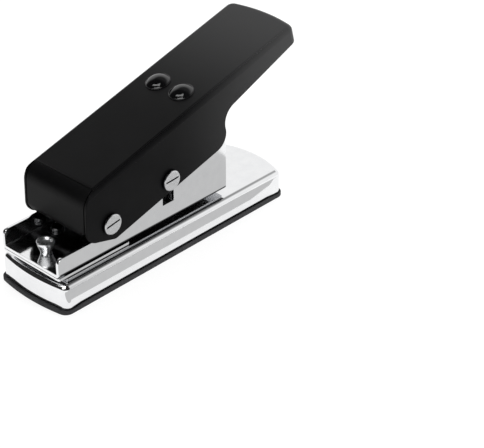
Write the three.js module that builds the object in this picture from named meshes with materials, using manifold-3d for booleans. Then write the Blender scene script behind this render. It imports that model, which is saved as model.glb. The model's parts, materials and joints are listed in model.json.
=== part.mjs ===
// A hand-lever punch that cuts guitar picks out of thin plastic sheet.
// Millimetres, +Z up. X runs from the hinge end to the free end of the lever, Y runs across.
// Inside the assembly group, x = 0 is the front edge of the punch frame and z = 0 is the table.
import * as THREE from 'three';
import { mergeVertices } from 'three/addons/utils/BufferGeometryUtils.js';
import Module from 'manifold-3d';

const wasm = await Module();
wasm.setup();

// Fits and clearances
const seatGap = 0.05;
const turnedSeatGap = 0.1;
const shankClearance = 0.15;
const runningClearance = 0.1;
const guideClearance = 0.15;
const dieClearance = 0.1;
const springClearance = 0.3;
const overrun = 3;

// Rubber foot
const footFloor = 1.6;
const lipThickness = 0.85;
const lipHeight = 2.4;
const footLead = 0.25;
const lipFit = 0.05;
const reliefHeight = 1.9;
const reliefBottomWidth = 6;
const reliefTopWidth = 12.5;
const reliefRounding = 0.9;
const footCorner = 4;
const footWindowMargin = 2.6;

// Base shell, drawn from sheet
const shellLength = 137.3;
const shellWidth = 40.2;
const shellHeight = 11.6;
const shellSheet = 1.2;
const shellFrontBow = 2.3;
const shellRearBow = 4.8;
const shellCorner = 3.2;
const shellEdgeRadius = 2.6;
const shellLead = 1.3;
const shellWindowMargin = 1.2;

// Die plate and, on it, two spacer plates. Only the upper spacer reaches the frame's front edge
const diePlateLength = 91.4;
const diePlateThickness = 1.05;
const lowerPlateSetback = 4.2;
const spacerLength = 39.3;
const spacerThickness = 1.15;
const lowerSpacerThickness = 1.05;
const plateCorner = 0.8;

// Punch frame, a channel bent from sheet
const frameLength = 98;
const frameSheet = 1.5;
const framePickRoom = 3;
const frameBend = 2;
const frameInnerBend = 0.5;
const frontWallHeight = 9.05;
const frontWallCorner = 2.8;
const earStart = 20.4;
const earRise = 22.4;
const earCorner = 6;
const wallHeight = 28.6;
const wallShoulder = 72.4;
const wallShoulderRounding = 8;
const rearWallHeight = 24.5;
const rearWallCorner = 2.5;
const stopMargin = 0.2;

// Rivets that tie the frame, the plates and the shell together: a tall one in front, two low ones behind it
const studShank = 4;
const studWaist = 4.8;
const studTop = 7.8;
const studHeight = 5.6;
const studRim = 1;
const studDimple = 0.9;
const studTail = 6.4;
const studTailThickness = 1.1;
const lowHead = 6;
const lowHeadHeight = 1.6;
const lowHeadRound = 1.1;
const frontStudX = 8.5;
const rearStudX = 23.5;
const rearStudSpacing = 20.8;

// Lever: its own frame has the pivot at zero, U along the top towards the tip and W up
const pivotX = 27.95;
const pivotHeight = 31.6;
const restTiltDegrees = 15.2;
const leverTip = 123.1;
const leverTop = 20.3;
const leverSheet = 1.2;
const leverSideGap = 0.5;
const leverBend = 2.6;
const leverCorner = 4;
const leverTipBow = 2.3;
const leverBelly = 8.9;
const leverFrontTop = 7.75;
const leverFrontFoot = 14.25;
const leverNoseDrop = 0.55;
const leverFrontBend = 9;
const leverNoseRounding = 6.5;
const leverBellyRounding = 3;
const leverHeel = 70.3;
const leverHeelRounding = 7.2;
const leverNeck = 6;
const leverNeckRounding = 8.2;
const leverTipUnderside = 12.5;
const flapLowerEdge = 1.6;
const flapCorner = 2.4;
const flapCornerRounding = 2.6;
const flapSlit = 0.45;
const flapSlitEnd = 2.6;

// Pins: a barrel nut from the far side and a slotted screw from the near side
const pivotBarrel = 6.4;
const driveBarrel = 5.8;
const driveU = 34.5;
const driveDrop = 3.1;
const pinHead = 9.5;
const pinHeadThickness = 1.3;
const pinHeadChamfer = 0.45;
const pinScrewShank = 3.8;
const pinScrewReach = 20;
const pinBoreSpare = 2;
const slotWidth = 1.1;
const slotDepth = 0.7;
const slotTurnDegrees = 8;
const washerThickness = 0.3;
const washerWidth = 1.8;

// Lever rivets and the brace plate that they hold under the lever's top
const leverRivetU = 61.1;
const leverRivetSpacing = 14.1;
const leverRivetHead = 11.2;
const leverRivetDome = 2.7;
const leverRivetShank = 5;
const leverRivetTail = 7.4;
const leverRivetTailThickness = 1.2;
const braceLength = 24;
const braceWidth = 28;
const braceThickness = 1.5;
const braceCorner = 4;

// The pick and the tool set that cuts it
const pickLength = 30;
const pickWidth = 26;
const pickShoulderShare = 0.75;
const pickTipRoundShare = 0.4;
const pickFlankShare = 0.71;
const pickCrownShare = 0.63;
const pickShoulderRoundShare = 0.69;
const punchRecess = 0.6;
const carrierHeight = 10;
const carrierEndRoom = 0.95;
const carrierCorner = 2.5;
const carrierSideGap = 0.45;
const carrierScrewSpacing = 17;
const carrierScrewShank = 3.6;
const carrierScrewHead = 6.4;
const carrierScrewHeadHeight = 2.4;
const carrierScrewSocket = 3;
const carrierScrewSocketDepth = 1.3;
const carrierScrewSink = 0.4;
const carrierScrewGrip = 7;
const tapDrillExtra = 1.2;

// Return springs between the frame's floor and the carrier
const springDiameter = 6.5;
const springPunchGap = 1.55;
const springWire = 0.7;
const springTurns = 5.5;
const springSeatFit = 0.45;
const springSeatHeight = 3.6;
const springSeatChamfer = 0.6;
const springSeatShank = 3;

// Steps on curves
const arcSteps = 5;
const bowSteps = 8;
const edgeSteps = 4;
const pickSteps = 8;
const roundSteps = 24;
const smallRoundSteps = 16;
const springStepsPerTurn = 8;
const springSides = 5;

// Sizes that follow from the ones above: the frame holds the pick, and the lever straddles the frame
const frameWidth = pickWidth + 2 * (framePickRoom + frameSheet);
const leverWidth = frameWidth + 2 * (leverSideGap + leverSheet);
const springSpacing = pickLength + springDiameter + 2 * springPunchGap;
const springSeatPin = springDiameter - 2 * (springWire + springSeatFit);
const carrierLength = springSpacing + springDiameter + 2 * carrierEndRoom;
const pinBoreReach = pinScrewReach + pinBoreSpare;

// Heights and places worked out from the sizes above
const degree = Math.PI / 180;
const restTilt = restTiltDegrees * degree;
const shellBottom = footFloor + seatGap;
const shellTop = shellBottom + shellHeight;
const diePlateBottom = shellTop + seatGap;
const diePlateTop = diePlateBottom + diePlateThickness;
const lowerSpacerBottom = diePlateTop + seatGap;
const lowerSpacerTop = lowerSpacerBottom + lowerSpacerThickness;
const spacerBottom = lowerSpacerTop + seatGap;
const spacerTop = spacerBottom + spacerThickness;
const frameBottom = spacerTop + seatGap;
const frameFloor = frameBottom + frameSheet;
const shellCentre = shellLength / 2 - shellLead;
const driveArm = Math.hypot(driveU, driveDrop);
const driveRestAngle = restTilt - Math.atan2(driveDrop, driveU);
const driveRestX = pivotX + driveArm * Math.cos(driveRestAngle);
const driveRestHeight = pivotHeight + driveArm * Math.sin(driveRestAngle);
const drivePressedHeight = pivotHeight - driveDrop;
const driveSwing = pivotX + driveArm - driveRestX;
const toolX = driveRestX + driveSwing / 2;
const frameSlotWidth = driveBarrel + driveSwing + 2 * runningClearance;
const carrierBottom = driveRestHeight - carrierHeight / 2;
const punchBottom = frameBottom + punchRecess;
const pinReach = leverWidth / 2 + turnedSeatGap;

// Finishes
const chrome = new THREE.MeshStandardMaterial({ color: 0xd8dadd, roughness: 0.12, metalness: 1 });
const blackPaint = new THREE.MeshStandardMaterial({ color: 0x1b1c1e, roughness: 0.38, metalness: 0.1 });
const blackGloss = new THREE.MeshStandardMaterial({ color: 0x121214, roughness: 0.2, metalness: 0.2 });
const rubber = new THREE.MeshStandardMaterial({ color: 0x3a3b3d, roughness: 0.8, metalness: 0 });
const brightSteel = new THREE.MeshStandardMaterial({ color: 0xc4c6c9, roughness: 0.3, metalness: 1 });
const toolSteel = new THREE.MeshStandardMaterial({ color: 0x8d9095, roughness: 0.35, metalness: 1 });
const springSteel = new THREE.MeshStandardMaterial({ color: 0xa9abae, roughness: 0.3, metalness: 1 });
const nylon = new THREE.MeshStandardMaterial({ color: 0xe9e8e2, roughness: 0.6, metalness: 0 });

// Solids: a closed geometry becomes a solid for joins and cuts, and a solid becomes a mesh
function toSolid(geometry) {
  const bare = geometry.clone();
  bare.deleteAttribute('normal');
  bare.deleteAttribute('uv');
  const welded = mergeVertices(bare);
  const corners = welded.index.array;
  const kept = [];
  for (let i = 0; i < corners.length; i += 3) {
    const [a, b, c] = [corners[i], corners[i + 1], corners[i + 2]];
    if (a !== b && b !== c && c !== a) kept.push(a, b, c);
  }
  return new wasm.Manifold(new wasm.Mesh({
    numProp: 3,
    vertProperties: new Float32Array(welded.attributes.position.array),
    triVerts: new Uint32Array(kept),
  }));
}

function toMesh(name, solid, material) {
  const { vertProperties, triVerts } = solid.getMesh();
  const geometry = new THREE.BufferGeometry();
  geometry.setAttribute('position', new THREE.BufferAttribute(vertProperties, 3));
  geometry.setIndex(new THREE.BufferAttribute(triVerts, 1));
  geometry.computeVertexNormals();
  const mesh = new THREE.Mesh(geometry, material);
  mesh.name = name;
  return mesh;
}

// Outlines. Corners are [x, y, radius], in counterclockwise order
function roundedOutline(corners) {
  const points = [];
  corners.forEach(([x, y, radius], i) => {
    const corner = new THREE.Vector2(x, y);
    const [beforeX, beforeY] = corners[(i + corners.length - 1) % corners.length];
    const [afterX, afterY] = corners[(i + 1) % corners.length];
    const back = new THREE.Vector2(beforeX, beforeY).sub(corner);
    const ahead = new THREE.Vector2(afterX, afterY).sub(corner);
    const half = Math.acos(back.dot(ahead) / (back.length() * ahead.length())) / 2;
    const run = Math.min(radius / Math.tan(half), back.length() / 2, ahead.length() / 2);
    if (run <= 0) {
      points.push(corner);
      return;
    }
    back.setLength(run);
    ahead.setLength(run);
    const toCentre = back.clone().add(ahead).setLength(run / Math.cos(half));
    const centre = corner.clone().add(toCentre);
    const start = corner.clone().add(back).sub(centre);
    const turn = Math.sign(back.cross(ahead)) * -(Math.PI - 2 * half);
    for (let step = 0; step <= arcSteps; step += 1) {
      points.push(start.clone().rotateAround(new THREE.Vector2(), turn * step / arcSteps).add(centre));
    }
  });
  return points;
}

// A quarter of a bowed end, from the X axis round its corner, grown outwards by a margin
function bowedQuarter({ length, width, corner }, bow, margin) {
  const half = width / 2;
  const bowRadius = (half * half + bow * bow) / (2 * bow);
  const bowCentre = length / 2 - bowRadius;
  const cornerY = half - corner;
  const cornerX = bowCentre + Math.sqrt((bowRadius - corner) ** 2 - cornerY ** 2);
  const meet = Math.atan2(cornerY, cornerX - bowCentre);
  const quarter = [];
  for (let step = 0; step <= bowSteps / 2; step += 1) {
    const angle = meet * step / (bowSteps / 2);
    const reach = bowRadius + margin;
    quarter.push([bowCentre + reach * Math.cos(angle), reach * Math.sin(angle)]);
  }
  for (let step = 1; step <= arcSteps; step += 1) {
    const angle = meet + (Math.PI / 2 - meet) * step / arcSteps;
    const reach = corner + margin;
    quarter.push([cornerX + reach * Math.cos(angle), cornerY + reach * Math.sin(angle)]);
  }
  return quarter;
}

// A rectangle with bowed ends and round corners, centred on zero, grown outwards by a margin
function bowedOutline(plan, margin) {
  const west = bowedQuarter(plan, plan.westBow, margin).map(([x, y]) => [-x, y]);
  const upper = [...bowedQuarter(plan, plan.eastBow, margin), ...west.reverse()];
  const lower = upper.slice(1, -1).map(([x, y]) => [x, -y]).reverse();
  return [...upper, ...lower].map(([x, y]) => new THREE.Vector2(x, y));
}

// The pick, tip towards -X, grown outwards by a margin
function pickOutline(margin) {
  const tip = -pickLength / 2;
  const back = pickLength / 2;
  const side = pickWidth / 2;
  const shoulder = tip + pickLength * pickShoulderShare;
  const flank = new THREE.CubicBezierCurve(
    new THREE.Vector2(back, 0),
    new THREE.Vector2(back, side * pickShoulderRoundShare),
    new THREE.Vector2(shoulder + (back - shoulder) * pickCrownShare, side),
    new THREE.Vector2(shoulder, side),
  );
  const cheek = new THREE.CubicBezierCurve(
    new THREE.Vector2(shoulder, side),
    new THREE.Vector2(tip + (shoulder - tip) * pickFlankShare, side),
    new THREE.Vector2(tip, side * pickTipRoundShare),
    new THREE.Vector2(tip, 0),
  );
  const upper = [];
  for (const curve of [flank, cheek]) {
    for (let step = 0; step < pickSteps; step += 1) {
      const along = curve.getTangent(step / pickSteps);
      const outward = new THREE.Vector2(along.y, -along.x).multiplyScalar(margin);
      upper.push(curve.getPoint(step / pickSteps).add(outward));
    }
  }
  const lower = upper.slice(1).map((point) => new THREE.Vector2(point.x, -point.y)).reverse();
  return [...upper, new THREE.Vector2(tip - margin, 0), ...lower];
}

// Stock shapes
function prism(outline, bottom, top) {
  const geometry = new THREE.ExtrudeGeometry(new THREE.Shape(outline), {
    depth: top - bottom,
    bevelEnabled: false,
  });
  return toSolid(geometry.translate(0, 0, bottom));
}

function acrossY(outline, width) {
  const geometry = new THREE.ExtrudeGeometry(new THREE.Shape(outline), {
    depth: width,
    bevelEnabled: false,
  });
  return toSolid(geometry.rotateX(Math.PI / 2).translate(0, width / 2, 0));
}

function alongX(outline, length) {
  const geometry = new THREE.ExtrudeGeometry(new THREE.Shape(outline), {
    depth: length,
    bevelEnabled: false,
  });
  return toSolid(geometry.rotateX(Math.PI / 2).rotateZ(Math.PI / 2));
}

function box(west, east, south, north, bottom, top) {
  const geometry = new THREE.BoxGeometry(east - west, north - south, top - bottom);
  return toSolid(geometry.translate((west + east) / 2, (south + north) / 2, (bottom + top) / 2));
}

// A prism whose upper edge is rounded. outlineAt gives its outline grown by a margin
function roundedTop(outlineAt, bottom, top, radius) {
  const rings = [{ outline: outlineAt(0), height: bottom }];
  for (let step = 0; step <= edgeSteps; step += 1) {
    const angle = Math.PI / 2 * step / edgeSteps;
    rings.push({
      outline: outlineAt(-radius * (1 - Math.cos(angle))),
      height: top - radius * (1 - Math.sin(angle)),
    });
  }
  const count = rings[0].outline.length;
  const positions = rings.flatMap(({ outline, height }) => outline.flatMap(({ x, y }) => [x, y, height]));
  const faces = [];
  for (let ring = 0; ring < rings.length - 1; ring += 1) {
    for (let i = 0; i < count; i += 1) {
      const next = (i + 1) % count;
      const low = ring * count;
      const high = low + count;
      faces.push(low + i, low + next, high + next, low + i, high + next, high + i);
    }
  }
  const lid = (rings.length - 1) * count;
  THREE.ShapeUtils.triangulateShape(rings[0].outline, []).forEach(([a, b, c]) => faces.push(a, c, b));
  THREE.ShapeUtils.triangulateShape(rings[rings.length - 1].outline, [])
    .forEach(([a, b, c]) => faces.push(lid + a, lid + b, lid + c));
  const geometry = new THREE.BufferGeometry();
  geometry.setAttribute('position', new THREE.Float32BufferAttribute(positions, 3));
  geometry.setIndex(faces);
  return toSolid(geometry);
}

// A turned piece on the Z axis. The profile is [radius, height] from the bottom up
function turned(profile, steps = roundSteps) {
  const points = profile.map(([radius, height]) => new THREE.Vector2(radius, height));
  const geometry = new THREE.LatheGeometry(points, steps);
  return toSolid(geometry.rotateX(Math.PI / 2));
}

function rod(diameter, bottom, top, steps = roundSteps) {
  return turned([[0, bottom], [diameter / 2, bottom], [diameter / 2, top], [0, top]], steps);
}

// Turns a piece made on the Z axis so that it points along +Y
function pointY(solid) {
  return solid.rotate([-90, 0, 0]);
}

// Rubber foot: a tray whose low lip grips the shell and dips at each corner
const shellPlan = {
  length: shellLength,
  width: shellWidth,
  westBow: shellFrontBow,
  eastBow: shellRearBow,
  corner: shellCorner,
};
const footPlan = {
  length: shellLength + 2 * (lipFit + lipThickness),
  width: shellWidth + 2 * (lipFit + lipThickness),
  westBow: shellFrontBow,
  eastBow: shellRearBow,
  corner: footCorner,
};

function shellOutline(margin) {
  return bowedOutline(shellPlan, margin);
}

function cornerRelief(sideX, sideY) {
  const spread = (reliefTopWidth - reliefBottomWidth) / 2 / (lipHeight - reliefHeight);
  const half = reliefTopWidth / 2 + spread * overrun;
  const topHeight = lipHeight + overrun;
  const outline = roundedOutline([
    [-half, topHeight, 0],
    [-reliefBottomWidth / 2, reliefHeight, reliefRounding],
    [reliefBottomWidth / 2, reliefHeight, reliefRounding],
    [half, topHeight, 0],
  ]);
  const turn = Math.atan2(sideY, sideX) / degree + 90;
  const depth = 2 * shellCorner + 2 * overrun;
  return acrossY(outline, depth).rotate([0, 0, turn]).translate([
    sideX * (shellLength / 2 - (sideX < 0 ? shellFrontBow : shellRearBow)),
    sideY * shellWidth / 2,
    0,
  ]);
}

function rubberFoot() {
  const inside = prism(shellOutline(lipFit), footFloor, lipHeight + overrun);
  let foot = prism(bowedOutline(footPlan, 0), 0, lipHeight).translate([-footLead, 0, 0]).subtract(inside);
  for (const sideX of [-1, 1]) {
    for (const sideY of [-1, 1]) {
      foot = foot.subtract(cornerRelief(sideX, sideY));
    }
  }
  const window = prism(pickOutline(footWindowMargin), -overrun, footFloor + overrun);
  return foot.subtract(window.translate([toolX - shellCentre, 0, 0]));
}

// Stud places, from the front edge of the frame
const frontStudHead = [
  [studWaist / 2, 0],
  [studTop / 2, studHeight - studRim],
  [studTop / 2, studHeight],
  [studTop / 2 - studRim, studHeight],
  [studShank / 2, studHeight - studDimple],
  [0, studHeight - studDimple],
];
const lowStudHead = [
  [lowHead / 2, 0],
  [lowHead / 2, lowHeadHeight - lowHeadRound],
  [lowHead / 2 - lowHeadRound * (1 - Math.SQRT1_2), lowHeadHeight - lowHeadRound * (1 - Math.SQRT1_2)],
  [lowHead / 2 - lowHeadRound, lowHeadHeight],
  [0, lowHeadHeight],
];
const studPlaces = [
  ['front', frontStudX, 0, frontStudHead],
  ['left', rearStudX, rearStudSpacing / 2, lowStudHead],
  ['right', rearStudX, -rearStudSpacing / 2, lowStudHead],
];

function studHoles(bottom, top) {
  const holes = studPlaces.map(([, x, y]) => (
    rod(studShank + 2 * shankClearance, bottom, top, smallRoundSteps).translate([x, y, 0])
  ));
  return wasm.Manifold.union(holes);
}

function baseShell() {
  const outer = roundedTop(shellOutline, shellBottom, shellTop, shellEdgeRadius);
  const inner = roundedTop(
    (margin) => shellOutline(margin - shellSheet),
    shellBottom - overrun,
    shellTop - shellSheet,
    shellEdgeRadius - shellSheet,
  );
  const window = prism(pickOutline(shellWindowMargin), shellBottom, shellTop + overrun);
  return outer.subtract(inner)
    .translate([shellCentre, 0, 0])
    .subtract(window.translate([toolX, 0, 0]))
    .subtract(studHoles(shellBottom, shellTop + overrun));
}

// Plates under the frame
function plateOutline(west, east) {
  const side = frameWidth / 2;
  return roundedOutline([
    [west, -side, plateCorner],
    [east, -side, plateCorner],
    [east, side, plateCorner],
    [west, side, plateCorner],
  ]);
}

function diePlate() {
  const hole = prism(pickOutline(dieClearance), diePlateBottom - overrun, diePlateTop + overrun);
  const outline = plateOutline(lowerPlateSetback, lowerPlateSetback + diePlateLength);
  return prism(outline, diePlateBottom, diePlateTop)
    .subtract(hole.translate([toolX, 0, 0]))
    .subtract(studHoles(diePlateBottom - overrun, diePlateTop + overrun));
}

function spacerPlate(west, bottom, top) {
  return prism(plateOutline(west, spacerLength), bottom, top).subtract(studHoles(bottom - overrun, top + overrun));
}

// Punch frame: a bent channel, its walls cut to one side outline, with a guide hole for the punch
const springPlaces = [
  ['front', toolX - springSpacing / 2],
  ['rear', toolX + springSpacing / 2],
];

function frameChannel() {
  const side = frameWidth / 2;
  const inside = side - frameSheet;
  const top = frameBottom + wallHeight + overrun;
  return alongX(roundedOutline([
    [-side, frameBottom, frameBend],
    [side, frameBottom, frameBend],
    [side, top, 0],
    [inside, top, 0],
    [inside, frameFloor, frameInnerBend],
    [-inside, frameFloor, frameInnerBend],
    [-inside, top, 0],
    [-side, top, 0],
  ]), frameLength);
}

function frameSideOutline() {
  const wallTop = frameBottom + wallHeight;
  return roundedOutline([
    [0, frameBottom - overrun, 0],
    [frameLength, frameBottom - overrun, 0],
    [frameLength, frameBottom + rearWallHeight, rearWallCorner],
    [wallShoulder, wallTop, wallShoulderRounding],
    [earRise, wallTop, earCorner],
    [earStart, frameBottom + frontWallHeight, frontWallCorner],
    [0, frameBottom + frontWallHeight, frontWallCorner],
  ]);
}

function frameSlot() {
  const half = frameSlotWidth / 2;
  const rounding = driveBarrel / 2 + runningClearance;
  const bottom = drivePressedHeight - driveBarrel / 2 - stopMargin;
  const top = driveRestHeight + driveBarrel / 2 + stopMargin;
  return acrossY(roundedOutline([
    [toolX - half, bottom, 0],
    [toolX + half, bottom, 0],
    [toolX + half, top, rounding],
    [toolX - half, top, rounding],
  ]), frameWidth + overrun);
}

function punchFrame() {
  const pivotHole = pointY(rod(pivotBarrel + 2 * shankClearance, -frameWidth, frameWidth));
  const guide = prism(pickOutline(guideClearance), frameBottom - overrun, frameFloor + overrun);
  let frame = frameChannel()
    .intersect(acrossY(frameSideOutline(), frameWidth + overrun))
    .subtract(pivotHole.translate([pivotX, 0, pivotHeight]))
    .subtract(frameSlot())
    .subtract(guide.translate([toolX, 0, 0]))
    .subtract(studHoles(frameBottom - overrun, frameFloor + overrun));
  for (const [, x] of springPlaces) {
    const bore = springSeatShank + 2 * shankClearance;
    const hole = rod(bore, frameBottom - overrun, frameFloor + overrun, smallRoundSteps);
    frame = frame.subtract(hole.translate([x, 0, 0]));
  }
  return frame;
}

function frameStud(head) {
  const tailTop = shellTop - shellSheet - seatGap;
  const foot = frameFloor + seatGap;
  return turned([
    [0, tailTop - studTailThickness],
    [studTail / 2, tailTop - studTailThickness],
    [studTail / 2, tailTop],
    [studShank / 2, tailTop],
    [studShank / 2, foot],
    ...head.map(([radius, height]) => [radius, foot + height]),
  ]);
}

// Lever: a drawn shell, open below, with a bent front flap between two side plates
const leverPlan = {
  length: 2 * leverTip,
  width: leverWidth,
  westBow: leverTipBow,
  eastBow: leverTipBow,
  corner: leverCorner,
};

function leverSideOutline(inset) {
  return roundedOutline([
    [-leverFrontTop + inset, leverTop, leverFrontBend - inset],
    [-leverFrontFoot + inset, -leverNoseDrop, leverNoseRounding],
    [0, -leverBelly, leverBellyRounding],
    [leverHeel, -leverBelly, leverHeelRounding],
    [leverHeel, leverNeck, leverNeckRounding],
    [leverTip + overrun, leverTipUnderside, 0],
    [leverTip + overrun, leverTop, 0],
  ]);
}

function leverCavity() {
  const inside = leverTop - leverSheet;
  const top = roundedTop(
    (margin) => bowedOutline(leverPlan, margin - leverSheet),
    -leverBelly - overrun,
    inside,
    leverBend - leverSheet,
  );
  const side = acrossY(roundedOutline([
    [-leverFrontTop + leverSheet, inside, leverFrontBend - leverSheet],
    [-leverFrontFoot + leverSheet, -leverNoseDrop, 0],
    [-leverFrontFoot + leverSheet, -leverBelly - overrun, 0],
    [leverTip, -leverBelly - overrun, 0],
    [leverTip, inside, 0],
  ]), leverWidth);
  return top.intersect(side);
}

function leverShell() {
  const blank = roundedTop(
    (margin) => bowedOutline(leverPlan, margin),
    -leverBelly - overrun,
    leverTop,
    leverBend,
  );
  const inside = leverWidth / 2 - leverSheet;
  const flapGap = leverFrontFoot + overrun;
  const underFlap = alongX(roundedOutline([
    [-inside, -leverBelly - overrun, 0],
    [inside, -leverBelly - overrun, 0],
    [inside, flapLowerEdge + flapCorner, 0],
    [inside - flapCorner, flapLowerEdge, flapCornerRounding],
    [-inside + flapCorner, flapLowerEdge, flapCornerRounding],
    [-inside, flapLowerEdge + flapCorner, 0],
  ]), flapGap);
  const across = leverWidth + overrun;
  const pivotHole = pointY(rod(pivotBarrel + 2 * shankClearance, -across, across));
  const driveHole = pointY(rod(driveBarrel + 2 * shankClearance, -across, across));
  let lever = blank
    .intersect(acrossY(leverSideOutline(0), leverWidth + overrun))
    .subtract(leverCavity())
    .subtract(underFlap.translate([-flapGap, 0, 0]))
    .subtract(pivotHole)
    .subtract(driveHole.translate([driveU, 0, -driveDrop]));
  for (const side of [-1, 1]) {
    const outer = side * inside;
    const inner = side * (inside - flapSlit);
    const slit = box(
      -leverFrontFoot - overrun,
      -flapSlitEnd,
      Math.min(outer, inner),
      Math.max(outer, inner),
      -leverBelly,
      leverTop + overrun,
    );
    const rivetHole = rod(leverRivetShank + 2 * shankClearance, 0, leverTop + overrun);
    lever = lever
      .subtract(slit)
      .subtract(rivetHole.translate([leverRivetU, side * leverRivetSpacing / 2, 0]));
  }
  return lever;
}

const braceTop = leverTop - leverSheet - turnedSeatGap;

function braceRivetHole(side) {
  const hole = rod(leverRivetShank + 2 * shankClearance, 0, leverTop);
  return hole.translate([leverRivetU, side * leverRivetSpacing / 2, 0]);
}

function leverBrace() {
  const south = -braceWidth / 2;
  const west = leverRivetU - braceLength / 2;
  const outline = roundedOutline([
    [west, south, braceCorner],
    [west + braceLength, south, braceCorner],
    [west + braceLength, -south, braceCorner],
    [west, -south, braceCorner],
  ]);
  return prism(outline, braceTop - braceThickness, braceTop)
    .subtract(braceRivetHole(-1))
    .subtract(braceRivetHole(1));
}

function leverRivet() {
  const seat = leverTop + turnedSeatGap;
  const tailTop = braceTop - braceThickness - turnedSeatGap;
  const head = leverRivetHead / 2;
  const domeRadius = (head * head + leverRivetDome * leverRivetDome) / (2 * leverRivetDome);
  const spread = Math.asin(head / domeRadius);
  const dome = [];
  for (let step = 0; step < arcSteps; step += 1) {
    const angle = spread * (1 - step / arcSteps);
    const height = seat + leverRivetDome - domeRadius * (1 - Math.cos(angle));
    dome.push([domeRadius * Math.sin(angle), height]);
  }
  return turned([
    [0, tailTop - leverRivetTailThickness],
    [leverRivetTail / 2, tailTop - leverRivetTailThickness],
    [leverRivetTail / 2, tailTop],
    [leverRivetShank / 2, tailTop],
    [leverRivetShank / 2, seat],
    ...dome,
    [0, seat + leverRivetDome],
  ]);
}

// Pins, made on the Z axis from the far head down and then laid along Y
function pinBarrel(diameter) {
  const bore = (pinScrewShank + 2 * runningClearance) / 2;
  return pointY(turned([
    [bore, -pinReach],
    [diameter / 2, -pinReach],
    [diameter / 2, pinReach],
    [pinHead / 2, pinReach],
    [pinHead / 2, pinReach + pinHeadThickness - pinHeadChamfer],
    [pinHead / 2 - pinHeadChamfer, pinReach + pinHeadThickness],
    [0, pinReach + pinHeadThickness],
    [0, -pinReach + pinBoreReach],
    [bore, -pinReach + pinBoreReach],
    [bore, -pinReach],
  ]));
}

function pinScrew() {
  const seat = -pinReach - turnedSeatGap;
  const face = seat - pinHeadThickness;
  const screw = pointY(turned([
    [0, face],
    [pinHead / 2 - pinHeadChamfer, face],
    [pinHead / 2, face + pinHeadChamfer],
    [pinHead / 2, seat],
    [pinScrewShank / 2, seat],
    [pinScrewShank / 2, seat + pinScrewReach],
    [0, seat + pinScrewReach],
  ]));
  const slot = box(-pinHead, pinHead, face - overrun, face + slotDepth, -slotWidth / 2, slotWidth / 2);
  return screw.subtract(slot.rotate([0, -slotTurnDegrees, 0]));
}

function pivotWasher(side) {
  const bore = pivotBarrel / 2 + shankClearance;
  const rim = bore + washerWidth;
  const inner = side * (frameWidth / 2 + runningClearance);
  const outer = inner + side * washerThickness;
  const bottom = Math.min(inner, outer);
  const top = Math.max(inner, outer);
  return pointY(turned([
    [bore, bottom],
    [rim, bottom],
    [rim, top],
    [bore, top],
    [bore, bottom],
  ]));
}

// Punch, its carrier and the two screws between them
const screwPlaces = [
  ['front', toolX - carrierScrewSpacing / 2],
  ['rear', toolX + carrierScrewSpacing / 2],
];
const punchTop = carrierBottom - seatGap;
const carrierTop = carrierBottom + carrierHeight;
const screwSeat = carrierTop - carrierScrewSink - carrierScrewHeadHeight;

function pickPunch() {
  let punch = prism(pickOutline(0), punchBottom, punchTop).translate([toolX, 0, 0]);
  for (const [, x] of screwPlaces) {
    const tapped = rod(
      carrierScrewShank + 2 * shankClearance,
      punchTop - carrierScrewGrip - tapDrillExtra,
      punchTop + overrun,
      smallRoundSteps,
    );
    punch = punch.subtract(tapped.translate([x, 0, 0]));
  }
  return punch;
}

function punchCarrier() {
  const side = frameWidth / 2 - frameSheet - carrierSideGap;
  const west = toolX - carrierLength / 2;
  const east = toolX + carrierLength / 2;
  const outline = roundedOutline([
    [west, -side, carrierCorner],
    [east, -side, carrierCorner],
    [east, side, carrierCorner],
    [west, side, carrierCorner],
  ]);
  const pinHalf = driveBarrel / 2 + runningClearance;
  const slotHalf = frameSlotWidth / 2;
  const crossSlot = acrossY(roundedOutline([
    [toolX - slotHalf, driveRestHeight - pinHalf, pinHalf],
    [toolX + slotHalf, driveRestHeight - pinHalf, pinHalf],
    [toolX + slotHalf, driveRestHeight + pinHalf, pinHalf],
    [toolX - slotHalf, driveRestHeight + pinHalf, pinHalf],
  ]), frameWidth);
  let carrier = prism(outline, carrierBottom, carrierTop).subtract(crossSlot);
  for (const [, x] of screwPlaces) {
    const bore = carrierScrewShank + 2 * shankClearance;
    const sink = carrierScrewHead + 2 * shankClearance;
    const shank = rod(bore, carrierBottom - overrun, carrierTop, smallRoundSteps);
    const counterbore = rod(sink, screwSeat - seatGap, carrierTop + overrun, smallRoundSteps);
    carrier = carrier.subtract(shank.add(counterbore).translate([x, 0, 0]));
  }
  return carrier;
}

function carrierScrew() {
  const top = screwSeat + carrierScrewHeadHeight;
  return turned([
    [0, punchTop - carrierScrewGrip],
    [carrierScrewShank / 2, punchTop - carrierScrewGrip],
    [carrierScrewShank / 2, screwSeat],
    [carrierScrewHead / 2, screwSeat],
    [carrierScrewHead / 2, top],
    [carrierScrewSocket / 2, top],
    [carrierScrewSocket / 2, top - carrierScrewSocketDepth],
    [0, top - carrierScrewSocketDepth],
  ], smallRoundSteps);
}

// Return springs, each one unbroken helix, on seats pressed into the frame's floor
class Helix extends THREE.Curve {
  constructor(radius, bottom, top, turns) {
    super();
    this.radius = radius;
    this.bottom = bottom;
    this.top = top;
    this.turns = turns;
  }

  getPoint(share, target = new THREE.Vector3()) {
    const angle = 2 * Math.PI * this.turns * share;
    return target.set(
      this.radius * Math.cos(angle),
      this.radius * Math.sin(angle),
      this.bottom + (this.top - this.bottom) * share,
    );
  }
}

function springCurve() {
  const radius = (springDiameter - springWire) / 2;
  const bottom = frameFloor + springWire / 2 + springClearance;
  const top = carrierBottom - springWire / 2 - springClearance;
  return new Helix(radius, bottom, top, springTurns);
}

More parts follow.
